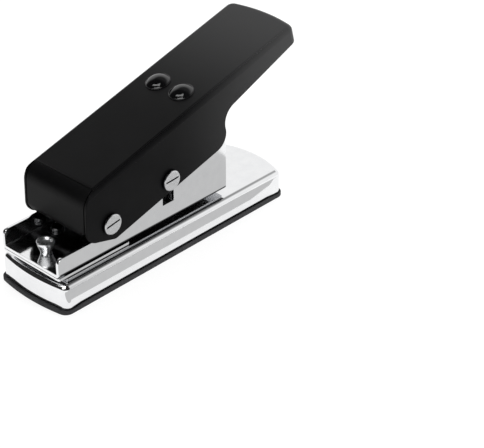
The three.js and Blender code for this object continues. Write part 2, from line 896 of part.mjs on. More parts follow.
function returnSpring() {
  const section = Array.from({ length: springSides }, (_, side) => (
    new THREE.Vector2(springWire / 2, 0).rotateAround(new THREE.Vector2(), 2 * Math.PI * side / springSides)
  ));
  const geometry = new THREE.ExtrudeGeometry(new THREE.Shape(section), {
    steps: Math.round(springTurns * springStepsPerTurn),
    extrudePath: springCurve(),
  });
  return toSolid(geometry);
}

function leastSpringGap() {
  const points = springCurve().getPoints(Math.round(springTurns * springStepsPerTurn));
  let least = Infinity;
  points.forEach((point, i) => {
    points.slice(i + Math.round(springStepsPerTurn / 2)).forEach((other) => {
      least = Math.min(least, point.distanceTo(other) - springWire);
    });
  });
  return least;
}

function springSeat() {
  const foot = frameFloor + seatGap;
  const crown = foot + springSeatHeight;
  return turned([
    [0, frameBottom],
    [springSeatShank / 2, frameBottom],
    [springSeatShank / 2, foot],
    [springSeatPin / 2, foot],
    [springSeatPin / 2, crown - springSeatChamfer],
    [springSeatPin / 2 - springSeatChamfer, crown],
    [0, crown],
  ], smallRoundSteps);
}

// Assembly
const assembly = new THREE.Group();

const base = new THREE.Group();
const foot = toMesh('rubber_foot', rubberFoot(), rubber);
foot.position.x = shellCentre;
base.add(foot);
base.add(toMesh('base_shell', baseShell(), chrome));
base.add(toMesh('die_plate', diePlate(), toolSteel));
base.add(toMesh('spacer_plate', spacerPlate(0, spacerBottom, spacerTop), chrome));
const lowerSpacer = spacerPlate(lowerPlateSetback, lowerSpacerBottom, lowerSpacerTop);
base.add(toMesh('lower_spacer_plate', lowerSpacer, chrome));
base.add(toMesh('punch_frame', punchFrame(), chrome));
for (const [place, x, y, head] of studPlaces) {
  const stud = toMesh(`frame_stud_${place}`, frameStud(head), chrome);
  stud.position.set(x, y, 0);
  base.add(stud);
}
for (const [place, x] of springPlaces) {
  const seat = toMesh(`spring_seat_${place}`, springSeat(), brightSteel);
  const spring = toMesh(`return_spring_${place}`, returnSpring(), springSteel);
  seat.position.x = x;
  spring.position.x = x;
  base.add(seat, spring);
}
assembly.add(base);

const pivot = new THREE.Group();
pivot.position.set(pivotX, 0, pivotHeight);
pivot.add(toMesh('pivot_barrel', pinBarrel(pivotBarrel), brightSteel));
pivot.add(toMesh('pivot_screw', pinScrew(), brightSteel));
for (const [place, side] of [['left', 1], ['right', -1]]) {
  pivot.add(toMesh(`pivot_washer_${place}`, pivotWasher(side), nylon));
}
assembly.add(pivot);

const lever = new THREE.Group();
lever.position.set(pivotX, 0, pivotHeight);
lever.rotation.y = -restTilt;
lever.add(toMesh('lever_shell', leverShell(), blackPaint));
lever.add(toMesh('lever_brace', leverBrace(), toolSteel));
for (const [place, side] of [['left', 1], ['right', -1]]) {
  const rivet = toMesh(`lever_rivet_${place}`, leverRivet(), blackGloss);
  rivet.position.set(leverRivetU, side * leverRivetSpacing / 2, 0);
  lever.add(rivet);
}
const drivePin = new THREE.Group();
drivePin.position.set(driveU, 0, -driveDrop);
drivePin.add(toMesh('drive_barrel', pinBarrel(driveBarrel), brightSteel));
drivePin.add(toMesh('drive_screw', pinScrew(), brightSteel));
lever.add(drivePin);
assembly.add(lever);

const tool = new THREE.Group();
tool.add(toMesh('pick_punch', pickPunch(), toolSteel));
tool.add(toMesh('punch_carrier', punchCarrier(), toolSteel));
for (const [place, x] of screwPlaces) {
  const screw = toMesh(`carrier_screw_${place}`, carrierScrew(), brightSteel);
  screw.position.x = x;
  tool.add(screw);
}
assembly.add(tool);

console.log(`Least gap between the spring's turns: ${leastSpringGap().toFixed(2)} mm`);

// The origin is under the middle of the whole punch's box, on the table
const extent = new THREE.Box3().setFromObject(assembly, true);
const middle = extent.getCenter(new THREE.Vector3());
assembly.position.set(-middle.x, -middle.y, 0);

const pickPunchTool = new THREE.Group();
pickPunchTool.add(assembly);

export default pickPunchTool;
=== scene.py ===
"""Dresses a hand-lever punch for guitar picks: smooth meshes, finishes, a plain studio and the camera.

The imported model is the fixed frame. Every size is in metres, X runs from the hinge end to the free end of the
lever, Y runs across and +Z is up.
"""

from __future__ import annotations

import json
import logging
import math
from collections.abc import Callable, Iterable, Sequence
from dataclasses import dataclass, field, replace
from enum import Enum
from functools import cached_property

import bmesh
import bpy
from mathutils import Matrix, Vector
from mathutils.bvhtree import BVHTree

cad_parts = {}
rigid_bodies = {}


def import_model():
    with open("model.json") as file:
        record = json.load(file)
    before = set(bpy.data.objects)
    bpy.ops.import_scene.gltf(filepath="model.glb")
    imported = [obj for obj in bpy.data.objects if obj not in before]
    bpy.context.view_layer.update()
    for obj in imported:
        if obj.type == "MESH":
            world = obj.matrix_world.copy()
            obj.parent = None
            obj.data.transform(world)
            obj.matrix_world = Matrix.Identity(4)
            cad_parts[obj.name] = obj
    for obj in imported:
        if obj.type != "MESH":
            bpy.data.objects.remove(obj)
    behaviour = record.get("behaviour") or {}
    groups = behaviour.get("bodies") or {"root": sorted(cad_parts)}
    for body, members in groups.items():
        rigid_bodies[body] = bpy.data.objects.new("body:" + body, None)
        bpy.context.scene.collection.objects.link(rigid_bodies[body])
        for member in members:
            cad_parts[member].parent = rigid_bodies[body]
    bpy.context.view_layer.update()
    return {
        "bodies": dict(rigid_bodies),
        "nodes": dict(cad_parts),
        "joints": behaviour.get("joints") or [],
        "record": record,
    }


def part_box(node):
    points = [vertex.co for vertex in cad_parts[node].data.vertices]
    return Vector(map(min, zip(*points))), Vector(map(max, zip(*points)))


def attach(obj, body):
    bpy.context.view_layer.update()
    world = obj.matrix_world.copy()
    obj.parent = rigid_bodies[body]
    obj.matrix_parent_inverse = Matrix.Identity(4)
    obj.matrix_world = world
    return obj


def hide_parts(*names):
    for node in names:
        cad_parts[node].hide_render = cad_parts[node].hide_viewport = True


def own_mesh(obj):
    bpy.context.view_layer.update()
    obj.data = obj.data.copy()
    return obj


log = logging.getLogger("pick_punch")

MM = 0.001
WIDE = 1.0
WHITE = (1.0, 1.0, 1.0, 1.0)
ARC_STEP = math.radians(5)
OVERRUN = 3 * MM
SMOOTH_ANGLE = math.radians(32)
ALONG_Y = Matrix.Rotation(-math.pi / 2, 4, "X")
# Most of a noise pattern lies between these values
USUAL_NOISE = (0.3, 0.7)
# The lever's paint is painted paler more and more from the first X to the second, as painted light
PAINTED_LIGHT_ALONG = (-8 * MM, 80 * MM)
FLAT_ANGLE = math.radians(1)
WELD = 0.002 * MM
FINE_WELD = 0.001 * MM
WIRE_SIDES = 12
SOCKET_SIDES = 6
NOISE_ROUGHNESS = 0.55

# Sizes that more than one sub-assembly uses
PIVOT_DIAMETER = 6.4 * MM
DRIVE_DIAMETER = 5.8 * MM
STUD_HOLE = 4.3 * MM
STUDS = ("frame_stud_front", "frame_stud_left", "frame_stud_right")
SEATS = ("spring_seat_front", "spring_seat_rear")

# The record's frame, filled in by main
FRAME: dict = {}

Piece = bpy.types.Object
Material = bpy.types.Material
NodeTree = bpy.types.NodeTree
Socket = bpy.types.NodeSocket
Outline = list[Vector]
Colour = tuple[float, float, float]


class Body(Enum):
    """The bodies that move apart."""

    BASE = "base"
    LEVER = "lever"
    PUNCH = "punch"


class Slot(Enum):
    """The record's material slots."""

    RUBBER = "rubber"
    CHROME = "chrome_plate"
    TOOL_STEEL = "tool_steel"
    BRIGHT_STEEL = "bright_steel"
    SPRING_STEEL = "spring_steel"
    NYLON = "nylon"
    BLACK_PAINT = "black_paint"
    BLACK_GLOSS = "black_gloss"


class Cut(Enum):
    """What a tool does to a piece: takes away what lies inside it, or keeps only that."""

    AWAY = "DIFFERENCE"
    KEEP = "INTERSECT"


class Side(Enum):
    """The two sides of the punch, as the sign of Y."""

    LEFT = 1
    RIGHT = -1


# Outlines


@dataclass(frozen=True)
class Corner:
    """A corner of an outline and the radius that rounds it."""

    x: float
    y: float
    radius: float = 0.0

    @property
    def place(self) -> Vector:
        """The corner before it is rounded."""
        return Vector((self.x, self.y))


def rounded_path(corners: Sequence[Corner], closed: bool = True) -> Outline:
    """Runs a line through corners and rounds each by its own radius.

    Args:
        corners: The corners in order, counterclockwise where the line closes.
        closed: Whether the last corner joins the first.

    Returns:
        The points of the line.
    """
    points: Outline = []
    for i, corner in enumerate(corners):
        here = corner.place
        if corner.radius <= 0 or (not closed and i in (0, len(corners) - 1)):
            points.append(here)
            continue
        back = corners[i - 1].place - here
        ahead = corners[(i + 1) % len(corners)].place - here
        half = back.angle(ahead) / 2
        run = min(corner.radius / math.tan(half), back.length / 2, ahead.length / 2)
        to_centre = (back.normalized() + ahead.normalized()).normalized()
        centre = here + to_centre * (run / math.cos(half))
        start = here + back.normalized() * run - centre
        turn = math.copysign(math.pi - 2 * half, -back.cross(ahead))
        steps = max(1, math.ceil(abs(turn) / ARC_STEP))
        points += [
            centre + Matrix.Rotation(turn * step / steps, 2) @ start
            for step in range(steps + 1)
        ]
    return points


def grown(outline: Outline, margin: float) -> Outline:
    """Offsets a counterclockwise outline.

    Args:
        outline: The outline.
        margin: How far it grows outwards.

    Returns:
        The new outline, with as many points.
    """
    points: Outline = []
    for i, here in enumerate(outline):
        before = (here - outline[i - 1]).normalized()
        after = (outline[(i + 1) % len(outline)] - here).normalized()
        first = Vector((before.y, -before.x))
        second = Vector((after.y, -after.x))
        points.append(here + (first + second) * (margin / (1 + first.dot(second))))
    return points


def shifted(outline: Outline, x: float, y: float) -> Outline:
    """Moves an outline."""
    return [point + Vector((x, y)) for point in outline]


def circle(diameter: float, x: float, y: float, steps: int = 48) -> Outline:
    """A round outline about a centre."""
    turns = (Matrix.Rotation(2 * math.pi * step / steps, 2) for step in range(steps))
    return [Vector((x, y)) + turn @ Vector((diameter / 2, 0)) for turn in turns]


def rectangle(west: float, east: float, south: float, north: float, radius: float) -> Outline:
    """A rectangle with round corners."""
    corners = ((west, south), (east, south), (east, north), (west, north))
    return rounded_path([Corner(x, y, radius) for x, y in corners])


@dataclass(frozen=True)
class BowedPlan:
    """A rectangle with bowed ends and round corners, centred on zero."""

    length: float
    width: float
    west_bow: float
    east_bow: float
    corner: float
    bow_steps: int = 14

    def quarter(self, bow: float, margin: float) -> Outline:
        """Works out a quarter of the plan, from the X axis round a corner of its +X end.

        Args:
            bow: How far that end bows out.
            margin: How far the plan grows.

        Returns:
            The points of the quarter.
        """
        half = self.width / 2
        bow_radius = (half * half + bow * bow) / (2 * bow)
        bow_centre = self.length / 2 - bow_radius
        corner_y = half - self.corner
        corner_x = bow_centre + math.sqrt((bow_radius - self.corner) ** 2 - corner_y**2)
        meet = math.atan2(corner_y, corner_x - bow_centre)
        quarter: Outline = []
        for step in range(self.bow_steps + 1):
            angle = meet * step / self.bow_steps
            reach = bow_radius + margin
            quarter.append(Vector((bow_centre + reach * math.cos(angle), reach * math.sin(angle))))
        corner_steps = math.ceil((math.pi / 2 - meet) / ARC_STEP)
        for step in range(1, corner_steps + 1):
            angle = meet + (math.pi / 2 - meet) * step / corner_steps
            reach = self.corner + margin
            quarter.append(Vector((corner_x + reach * math.cos(angle), corner_y + reach * math.sin(angle))))
        return quarter

    def outline(self, margin: float = 0.0) -> Outline:
        """Works out the plan, grown outwards by a margin.

        Args:
            margin: How far the plan grows.

        Returns:
            The outline.
        """
        west = [Vector((-point.x, point.y)) for point in self.quarter(self.west_bow, margin)]
        upper = self.quarter(self.east_bow, margin) + west[::-1]
        return upper + [Vector((point.x, -point.y)) for point in reversed(upper[1:-1])]


@dataclass(frozen=True)
class Pick:
    """The outline of a pick with its tip towards -X, centred on zero."""

    length: float = 30 * MM
    width: float = 26 * MM
    shoulder_share: float = 0.75
    shoulder_round_share: float = 0.69
    crown_share: float = 0.63
    flank_share: float = 0.71
    tip_round_share: float = 0.4
    steps: int = 24

    def outline(self, margin: float = 0.0) -> Outline:
        """Works out the pick, grown outwards by a margin.

        Args:
            margin: How far the outline grows.

        Returns:
            The outline.
        """
        tip = -self.length / 2
        back = self.length / 2
        side = self.width / 2
        shoulder = tip + self.length * self.shoulder_share
        crown = shoulder + (back - shoulder) * self.crown_share
        flank = tip + (shoulder - tip) * self.flank_share
        curves = (
            ((back, 0), (back, side * self.shoulder_round_share), (crown, side), (shoulder, side)),
            ((shoulder, side), (flank, side), (tip, side * self.tip_round_share), (tip, 0)),
        )
        upper: Outline = []
        for curve in curves:
            first, second, third, last = (Vector(point) for point in curve)
            for step in range(self.steps):
                t = step / self.steps
                s = 1 - t
                upper.append(first * s**3 + second * 3 * s * s * t + third * 3 * s * t * t + last * t**3)
        lower = [Vector((point.x, -point.y)) for point in reversed(upper[1:])]
        return grown(upper + [Vector((tip, 0))] + lower, margin)


# Meshes


def link(name: str, data: bpy.types.ID) -> Piece:
    """Puts data in the scene as an object.

    Args:
        name: The object's name.
        data: Its data.

    Returns:
        The object.
    """
    thing = bpy.data.objects.new(name, data)
    bpy.context.scene.collection.objects.link(thing)
    return thing


def add_piece(name: str, mesh: bmesh.types.BMesh) -> Piece:
    """Turns a closed mesh into a piece of the scene.

    Args:
        name: The piece's name.
        mesh: The mesh, which is freed.

    Returns:
        The piece, with its faces pointing out.
    """
    bmesh.ops.recalc_face_normals(mesh, faces=mesh.faces)
    data = bpy.data.meshes.new(name)
    mesh.to_mesh(data)
    mesh.free()
    return link(name, data)


def skin(mesh: bmesh.types.BMesh, rings: Iterable[Iterable[Vector]]) -> list[list[bmesh.types.BMVert]]:
    """Skins a stack of rings and leaves both ends open.

    Args:
        mesh: The mesh that takes the faces.
        rings: Rings of equal length, each a loop of points.

    Returns:
        The stack, as corners of the mesh.
    """
    stack = [[mesh.verts.new(point) for point in ring] for ring in rings]
    for low, high in zip(stack, stack[1:]):
        for i in range(len(low)):
            j = (i + 1) % len(low)
            mesh.faces.new((low[i], low[j], high[j], high[i]))
    return stack


def loft(name: str, rings: Sequence[Sequence[Vector]]) -> Piece:
    """Skins a stack of rings and closes both ends.

    Args:
        name: The piece's name.
        rings: Rings of equal length, each a loop of points.

    Returns:
        The piece.
    """
    mesh = bmesh.new()
    stack = skin(mesh, rings)
    mesh.faces.new(reversed(stack[0]))
    mesh.faces.new(stack[-1])
    return add_piece(name, mesh)


def level(outline: Outline, height: float) -> list[Vector]:
    """Lays an outline flat at a height."""
    return [Vector((point.x, point.y, height)) for point in outline]


def rounded_top(
    name: str, outline_at: Callable[[float], Outline], bottom: float, top: float, radius: float
) -> Piece:
    """A prism whose upper edge is rounded.

    Args:
        name: The piece's name.
        outline_at: Gives the outline grown by a margin.
        bottom: The height of its flat underside.
        top: The height of its flat top.
        radius: The radius of its upper edge.

    Returns:
        The piece.
    """
    steps = math.ceil(math.pi / 2 / ARC_STEP)
    rings = [level(outline_at(0), bottom)]
    for step in range(steps + 1):
        angle = math.pi / 2 * step / steps
        margin = -radius * (1 - math.cos(angle))
        rings.append(level(outline_at(margin), top - radius * (1 - math.sin(angle))))
    return loft(name, rings)


def plate(
    name: str, outline: Outline, bottom: float, top: float, edge: float, holes: Iterable[Outline] = ()
) -> Piece:
    """A flat plate whose edges and hole rims are all rounded.

    Args:
        name: The piece's name.
        outline: Its counterclockwise outline.
        bottom: The height of its underside.
        top: The height of its top.
        edge: The radius on every edge.
        holes: Counterclockwise outlines of its holes.

    Returns:
        The piece.
    """
    steps = 3
    profile = []
    for step in range(steps + 1):
        angle = math.pi / 2 * step / steps
        profile.append((-edge * (1 - math.sin(angle)), bottom + edge * (1 - math.cos(angle))))
    profile += [(margin, bottom + top - height) for margin, height in reversed(profile)]
    mesh = bmesh.new()
    ends: tuple[list, list] = ([], [])
    for loop, sign in [(outline, 1), *((hole, -1) for hole in holes)]:
        stack = skin(mesh, [level(grown(loop, sign * margin), height) for margin, height in profile])
        for end, ring in zip(ends, (stack[0], stack[-1])):
            end += [mesh.edges.get((ring[i - 1], ring[i])) for i in range(len(ring))]
    for end in ends:
        bmesh.ops.triangle_fill(mesh, use_beauty=True, edges=end)
    return add_piece(name, mesh)


def turned(name: str, corners: Sequence[Corner], steps: int = 64) -> Piece:
    """A turned piece on the Z axis.

    Args:
        name: The piece's name.
        corners: Its profile as radius and height, from the lower pole to the upper one, both on the axis.
        steps: How many steps go round.

    Returns:
        The piece.
    """
    profile = rounded_path(corners, closed=False)
    mesh = bmesh.new()
    poles = [mesh.verts.new((0, 0, profile[0].y)), mesh.verts.new((0, 0, profile[-1].y))]
    stack = []
    for point in profile[1:-1]:
        ring = circle(2 * point.x, 0, 0, steps)
        stack.append([mesh.verts.new(place) for place in level(ring, point.y)])
    for i in range(steps):
        j = (i + 1) % steps
        mesh.faces.new((poles[0], stack[0][j], stack[0][i]))
        mesh.faces.new((poles[1], stack[-1][i], stack[-1][j]))
        for low, high in zip(stack, stack[1:]):
            mesh.faces.new((low[i], low[j], high[j], high[i]))
    return add_piece(name, mesh)


def moved(piece: Piece, matrix: Matrix) -> Piece:
    """Moves a piece's mesh and leaves its object at the origin."""
    piece.data.transform(matrix)
    return piece


def prism(outline: Outline, bottom: float, top: float) -> Piece:
    """An upright prism, used as a cutter."""
    return loft("cutter", [level(outline, bottom), level(outline, top)])


def across(outline: Outline, reach: float) -> Piece:
    """A prism along Y whose outline is in X and Z, used as a cutter."""
    return loft("cutter", [[Vector((point.x, y, point.y)) for point in outline] for y in (-reach, reach)])


def lengthwise(name: str, outline: Outline, west: float, east: float) -> Piece:
    """A prism along X whose outline is in Y and Z."""
    return loft(name, [[Vector((x, point.x, point.y)) for point in outline] for x in (west, east)])


def bake(piece: Piece) -> Piece:
    """Replaces a piece's mesh by what its modifiers make of it, and removes them.

    Args:
        piece: The piece.

    Returns:
        The piece.
    """
    graph = bpy.context.evaluated_depsgraph_get()
    mesh = bpy.data.meshes.new_from_object(piece.evaluated_get(graph))
    mesh.name = piece.name
    old = piece.data
    piece.modifiers.clear()
    piece.data = mesh
    bpy.data.meshes.remove(old)
    return piece


def combine(piece: Piece, tool: Piece, cut: Cut = Cut.AWAY) -> Piece:
    """Cuts or trims a piece with another, which is used up.

    Args:
        piece: The piece that stays.
        tool: The closed mesh that cuts it.
        cut: What the tool does.

    Returns:
        The piece.
    """
    modifier = piece.modifiers.new("combine", "BOOLEAN")
    modifier.operation = cut.value
    modifier.solver = "EXACT"
    modifier.object = tool
    bake(piece)
    bpy.data.objects.remove(tool)
    return piece


def smooth(piece: Piece) -> Piece:
    """Shades a piece smooth, with its flat faces kept flat.

    Args:
        piece: The piece.

    Returns:
        The piece.
    """
    piece.data.shade_smooth()
    piece.data.set_sharp_from_angle(angle=SMOOTH_ANGLE)
    modifier = piece.modifiers.new("normals", "WEIGHTED_NORMAL")
    modifier.keep_sharp = True
    return bake(piece)


def soften(piece: Piece, edge: float, segments: int = 2) -> Piece:
    """Rounds the sharp edges of a piece and shades it smooth.

    Args:
        piece: The piece.
        edge: The width of the rounding.
        segments: How many faces cross it.

    Returns:
        The piece.
    """
    mesh = bmesh.new()
    mesh.from_mesh(piece.data)
    bmesh.ops.remove_doubles(mesh, verts=mesh.verts, dist=WELD)
    bmesh.ops.dissolve_degenerate(mesh, dist=WELD, edges=mesh.edges)
    mesh.to_mesh(piece.data)
    sharp = BVHTree.FromBMesh(mesh)
    mesh.free()
    modifier = piece.modifiers.new("edges", "BEVEL")
    modifier.width = edge
    modifier.segments = segments
    modifier.limit_method = "ANGLE"
    modifier.angle_limit = SMOOTH_ANGLE
    modifier.use_clamp_overlap = False
    bake(piece)
    # Where edges crowd, the rounding can throw a point far out, so such points go back to the surface
    for vertex in piece.data.vertices:
        place, _, _, gap = sharp.find_nearest(vertex.co)
        if gap > edge:
            vertex.co = place
    return smooth(piece)


def softened_copy(node: str, name: str, edge: float) -> Piece:
    """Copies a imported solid, welds it and rounds its edges.

    Args:
        node: The solid's name.
        name: The new piece's name.
        edge: The width of the rounding.

    Returns:
        The piece.
    """
    mesh = bmesh.new()
    mesh.from_mesh(bpy.data.objects[node].data)
    bmesh.ops.remove_doubles(mesh, verts=mesh.verts, dist=FINE_WELD)
    bmesh.ops.dissolve_limit(mesh, angle_limit=FLAT_ANGLE, verts=mesh.verts, edges=mesh.edges)
    return soften(add_piece(name, mesh), edge)


@dataclass(frozen=True)
class Room:
    """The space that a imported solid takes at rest."""

    low: Vector
    high: Vector

    @classmethod
    def of(cls, node: str) -> Room:
        """Reads a solid's room from the frame."""
        return cls(*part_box(node))

    @property
    def centre(self) -> Vector:
        """The middle of the room."""
        return (self.low + self.high) / 2

    @property
    def size(self) -> Vector:
        """Its length, width and height."""
        return self.high - self.low


def centres(nodes: Iterable[str]) -> list[Vector]:
    """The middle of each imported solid."""
    return [Room.of(node).centre for node in nodes]


def bores(nodes: Iterable[str], diameter: float) -> list[Outline]:
    """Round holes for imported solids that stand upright."""
    return [circle(diameter, centre.x, centre.y) for centre in centres(nodes)]


# Node trees


class Graph:
    """A node tree under construction."""

    def __init__(self, tree: NodeTree) -> None:
        """Takes the tree to build in."""
        self.tree = tree

    def feed(self, socket: Socket, value: object) -> None:
        """Links another socket to an input, or sets the input's value.

        Args:
            socket: The input.
            value: Another socket, or the value.
        """
        if isinstance(value, Socket):
            self.tree.links.new(value, socket)
        else:
            socket.default_value = value

    def add(
        self, kind: str, *values: object, settings: dict[str, object] | None = None, **inputs: object
    ) -> bpy.types.Node:
        """Adds a node.

        Args:
            kind: The node's type.
            *values: What goes into its first sockets, each another socket or a value.
            settings: Its own settings.
            **inputs: What goes into further sockets, by name with _ for a space.

        Returns:
            The node.
        """
        node = self.tree.nodes.new(kind)
        for key, value in (settings or {}).items():
            setattr(node, key, value)
        for socket, value in zip(node.inputs, values):
            self.feed(socket, value)
        for label, value in inputs.items():
            self.feed(node.inputs[label.replace("_", " ")], value)
        return node

    def math(self, operation: str, *terms: object) -> Socket:
        """Adds a sum of numbers and gives its result."""
        return self.add("ShaderNodeMath", *terms, settings={"operation": operation}).outputs[0]

    def vector(self, operation: str, *terms: object, result: str = "Vector") -> Socket:
        """Adds a sum of vectors and gives its result."""
        return self.add("ShaderNodeVectorMath", *terms, settings={"operation": operation}).outputs[result]

    def ranged(self, value: Socket, *limits: float, eased: bool = True) -> Socket:
        """Takes a value from one range, its first two limits, to another: its last two, or 0 and 1."""
        settings = {"interpolation_type": "SMOOTHSTEP" if eased else "LINEAR"}
        return self.add("ShaderNodeMapRange", value, *limits, settings=settings).outputs[0]

    def for_rays(self, kinds: Sequence[str], chosen: Socket, rest: Socket) -> Socket:
        """Shows one shader to some rays and another to the rest.

        Args:
            kinds: The Light Path outputs of the chosen rays.
            chosen: The shader for them.
            rest: The shader for all others.

        Returns:
            The socket of both together.
        """
        path = self.add("ShaderNodeLightPath")
        share = path.outputs[kinds[0]]
        for kind in kinds[1:]:
            share = self.math("MAXIMUM", share, path.outputs[kind])
        return self.add("ShaderNodeMixShader", share, rest, chosen).outputs[0]


class NodeSheet(Graph):
    """A Geometry Nodes tree that takes points and gives finished geometry."""

    def __init__(self, name: str, inputs: dict[str, str]) -> None:
        """Starts the tree.

        Args:
            name: The tree's name.
            inputs: The label of each input and its socket type.
        """
        super().__init__(bpy.data.node_groups.new(name, "GeometryNodeTree"))
        for label, kind in {"Places": "Geometry", **inputs, "Finish": "Material"}.items():
            self.tree.interface.new_socket(label, in_out="INPUT", socket_type=f"NodeSocket{kind}")
        self.tree.interface.new_socket("Geometry", in_out="OUTPUT", socket_type="NodeSocketGeometry")
        self.given = self.add("NodeGroupInput").outputs

    def close(self, instances: Socket) -> NodeTree:
        """Makes the instances real, gives them their finish and ends the tree.

        Args:
            instances: The geometry to put out.

        Returns:
            The tree.
        """
        real = self.add("GeometryNodeRealizeInstances", Geometry=instances)
        shaded = self.add("GeometryNodeSetShadeSmooth", Geometry=real.outputs[0])
        finish = self.given["Finish"]
        dressed = self.add("GeometryNodeSetMaterial", Geometry=shaded.outputs[0], Material=finish)
        self.add("NodeGroupOutput", Geometry=dressed.outputs[0])
        return self.tree


def stock_row_tree() -> NodeTree:
    """Builds the tree that puts a copy of a stock piece on each place, turned alike.

    Returns:
        The tree.
    """
    sheet = NodeSheet("stock_row", {"Stock": "Object", "Turn": "Vector"})
    stock = sheet.add("GeometryNodeObjectInfo", Object=sheet.given["Stock"])
    copies = sheet.add(
        "GeometryNodeInstanceOnPoints",
        Points=sheet.given["Places"],
        Instance=stock.outputs["Geometry"],
        Rotation=sheet.given["Turn"],
    )
    return sheet.close(copies.outputs[0])


def coil_tree() -> NodeTree:
    """Builds the tree that winds a compression spring, with closed ends, on each place.

    Returns:
        The tree.
    """
    lengths = ("Coil Diameter", "Wire", "Height", "Turns")
    sheet = NodeSheet("coil", {**dict.fromkeys(lengths, "Float"), "Steps": "Int", "Closed": "Float"})
    given, sums = sheet.given, sheet.math
    line = sheet.add("GeometryNodeCurvePrimitiveLine")
    resampled = sheet.add("GeometryNodeResampleCurve", Curve=line.outputs[0], Count=given["Steps"])
    share = sheet.add("GeometryNodeSplineParameter").outputs["Factor"]
    angle = sums("MULTIPLY", share, sums("MULTIPLY", given["Turns"], math.tau))
    radius = sums("MULTIPLY", given["Coil Diameter"], 0.5)
    # A closed end rises by one wire a turn, and the open turns share what is left
    turn = sums("MULTIPLY", share, given["Turns"])
    left = sums("SUBTRACT", given["Turns"], turn)
    low = sums("MINIMUM", turn, given["Closed"])
    high = sums("SUBTRACT", given["Closed"], sums("MINIMUM", left, given["Closed"]))
    closed_turns = sums("ADD", low, high)
    closed_rise = sums("MULTIPLY", closed_turns, given["Wire"])
    twice = sums("MULTIPLY", given["Closed"], 2.0)
    open_turns = sums("SUBTRACT", given["Turns"], twice)
    open_done = sums("SUBTRACT", turn, closed_turns)
    open_height = sums("SUBTRACT", given["Height"], sums("MULTIPLY", twice, given["Wire"]))
    open_rise = sums("MULTIPLY", sums("DIVIDE", open_done, open_turns), open_height)
    place = sheet.add(
        "ShaderNodeCombineXYZ",
        sums("MULTIPLY", sums("COSINE", angle), radius),
        sums("MULTIPLY", sums("SINE", angle), radius),
        sums("ADD", closed_rise, open_rise),
    )
    wound = sheet.add("GeometryNodeSetPosition", Geometry=resampled.outputs[0], Position=place.outputs[0])
    wire_radius = sums("MULTIPLY", given["Wire"], 0.5)
    section = sheet.add("GeometryNodeCurvePrimitiveCircle", Resolution=WIRE_SIDES, Radius=wire_radius)
    wire = sheet.add(
        "GeometryNodeCurveToMesh", Curve=wound.outputs[0], Profile_Curve=section.outputs[0], Fill_Caps=True
    )
    copies = sheet.add("GeometryNodeInstanceOnPoints", Points=given["Places"], Instance=wire.outputs[0])
    return sheet.close(copies.outputs[0])


def grow(name: str, tree: NodeTree, places: Iterable[Vector], inputs: dict[str, object]) -> Piece:
    """Runs a tree on some places and keeps the result as one plain mesh.

    Args:
        name: The new piece's name.
        tree: The Geometry Nodes tree.
        places: Where the copies go.
        inputs: The tree's inputs by label.

    Returns:
        The piece.
    """
    host = bpy.data.meshes.new(name)
    host.from_pydata([tuple(place) for place in places], [], [])
    piece = link(name, host)
    modifier = piece.modifiers.new("growth", "NODES")
    modifier.node_group = tree
    for item in tree.interface.items_tree:
        if item.in_out == "INPUT" and item.name in inputs:
            modifier[item.identifier] = inputs[item.name]
    bake(piece)
    piece.data.set_sharp_from_angle(angle=SMOOTH_ANGLE)
    return piece


def repeated(
    name: str, stock: Piece, places: Iterable[Vector], finish: Material, tilt: float = 0.0
) -> Piece:
    """Puts a copy of a stock piece on each place and removes the stock.

    Args:
        name: The new piece's name.
        stock: The stock piece.
        places: Where the copies go.
        finish: Their finish.
        tilt: How far each is turned about Y, its top towards -X.

    Returns:
        The piece.
    """
    inputs = {"Stock": stock, "Turn": (0.0, -tilt, 0.0), "Finish": finish}
    row = grow(name, stock_row_tree(), places, inputs)
    bpy.data.objects.remove(stock)
    return row


# Finishes


@dataclass(frozen=True)
class PaintedShade:
    """Painted shade where shade falls in a seam or recess: full inside a box, less and less outside it."""

    low: tuple[float, float, float]
    high: tuple[float, float, float]
    fade: float = 0.3 * MM
    colour: Colour = (0.03, 0.03, 0.032)


@dataclass(frozen=True)
class Pattern:
    """A noise pattern: its cycles per metre, alike or along each axis, and its octaves."""

    per_metre: float | tuple[float, float, float]
    octaves: float


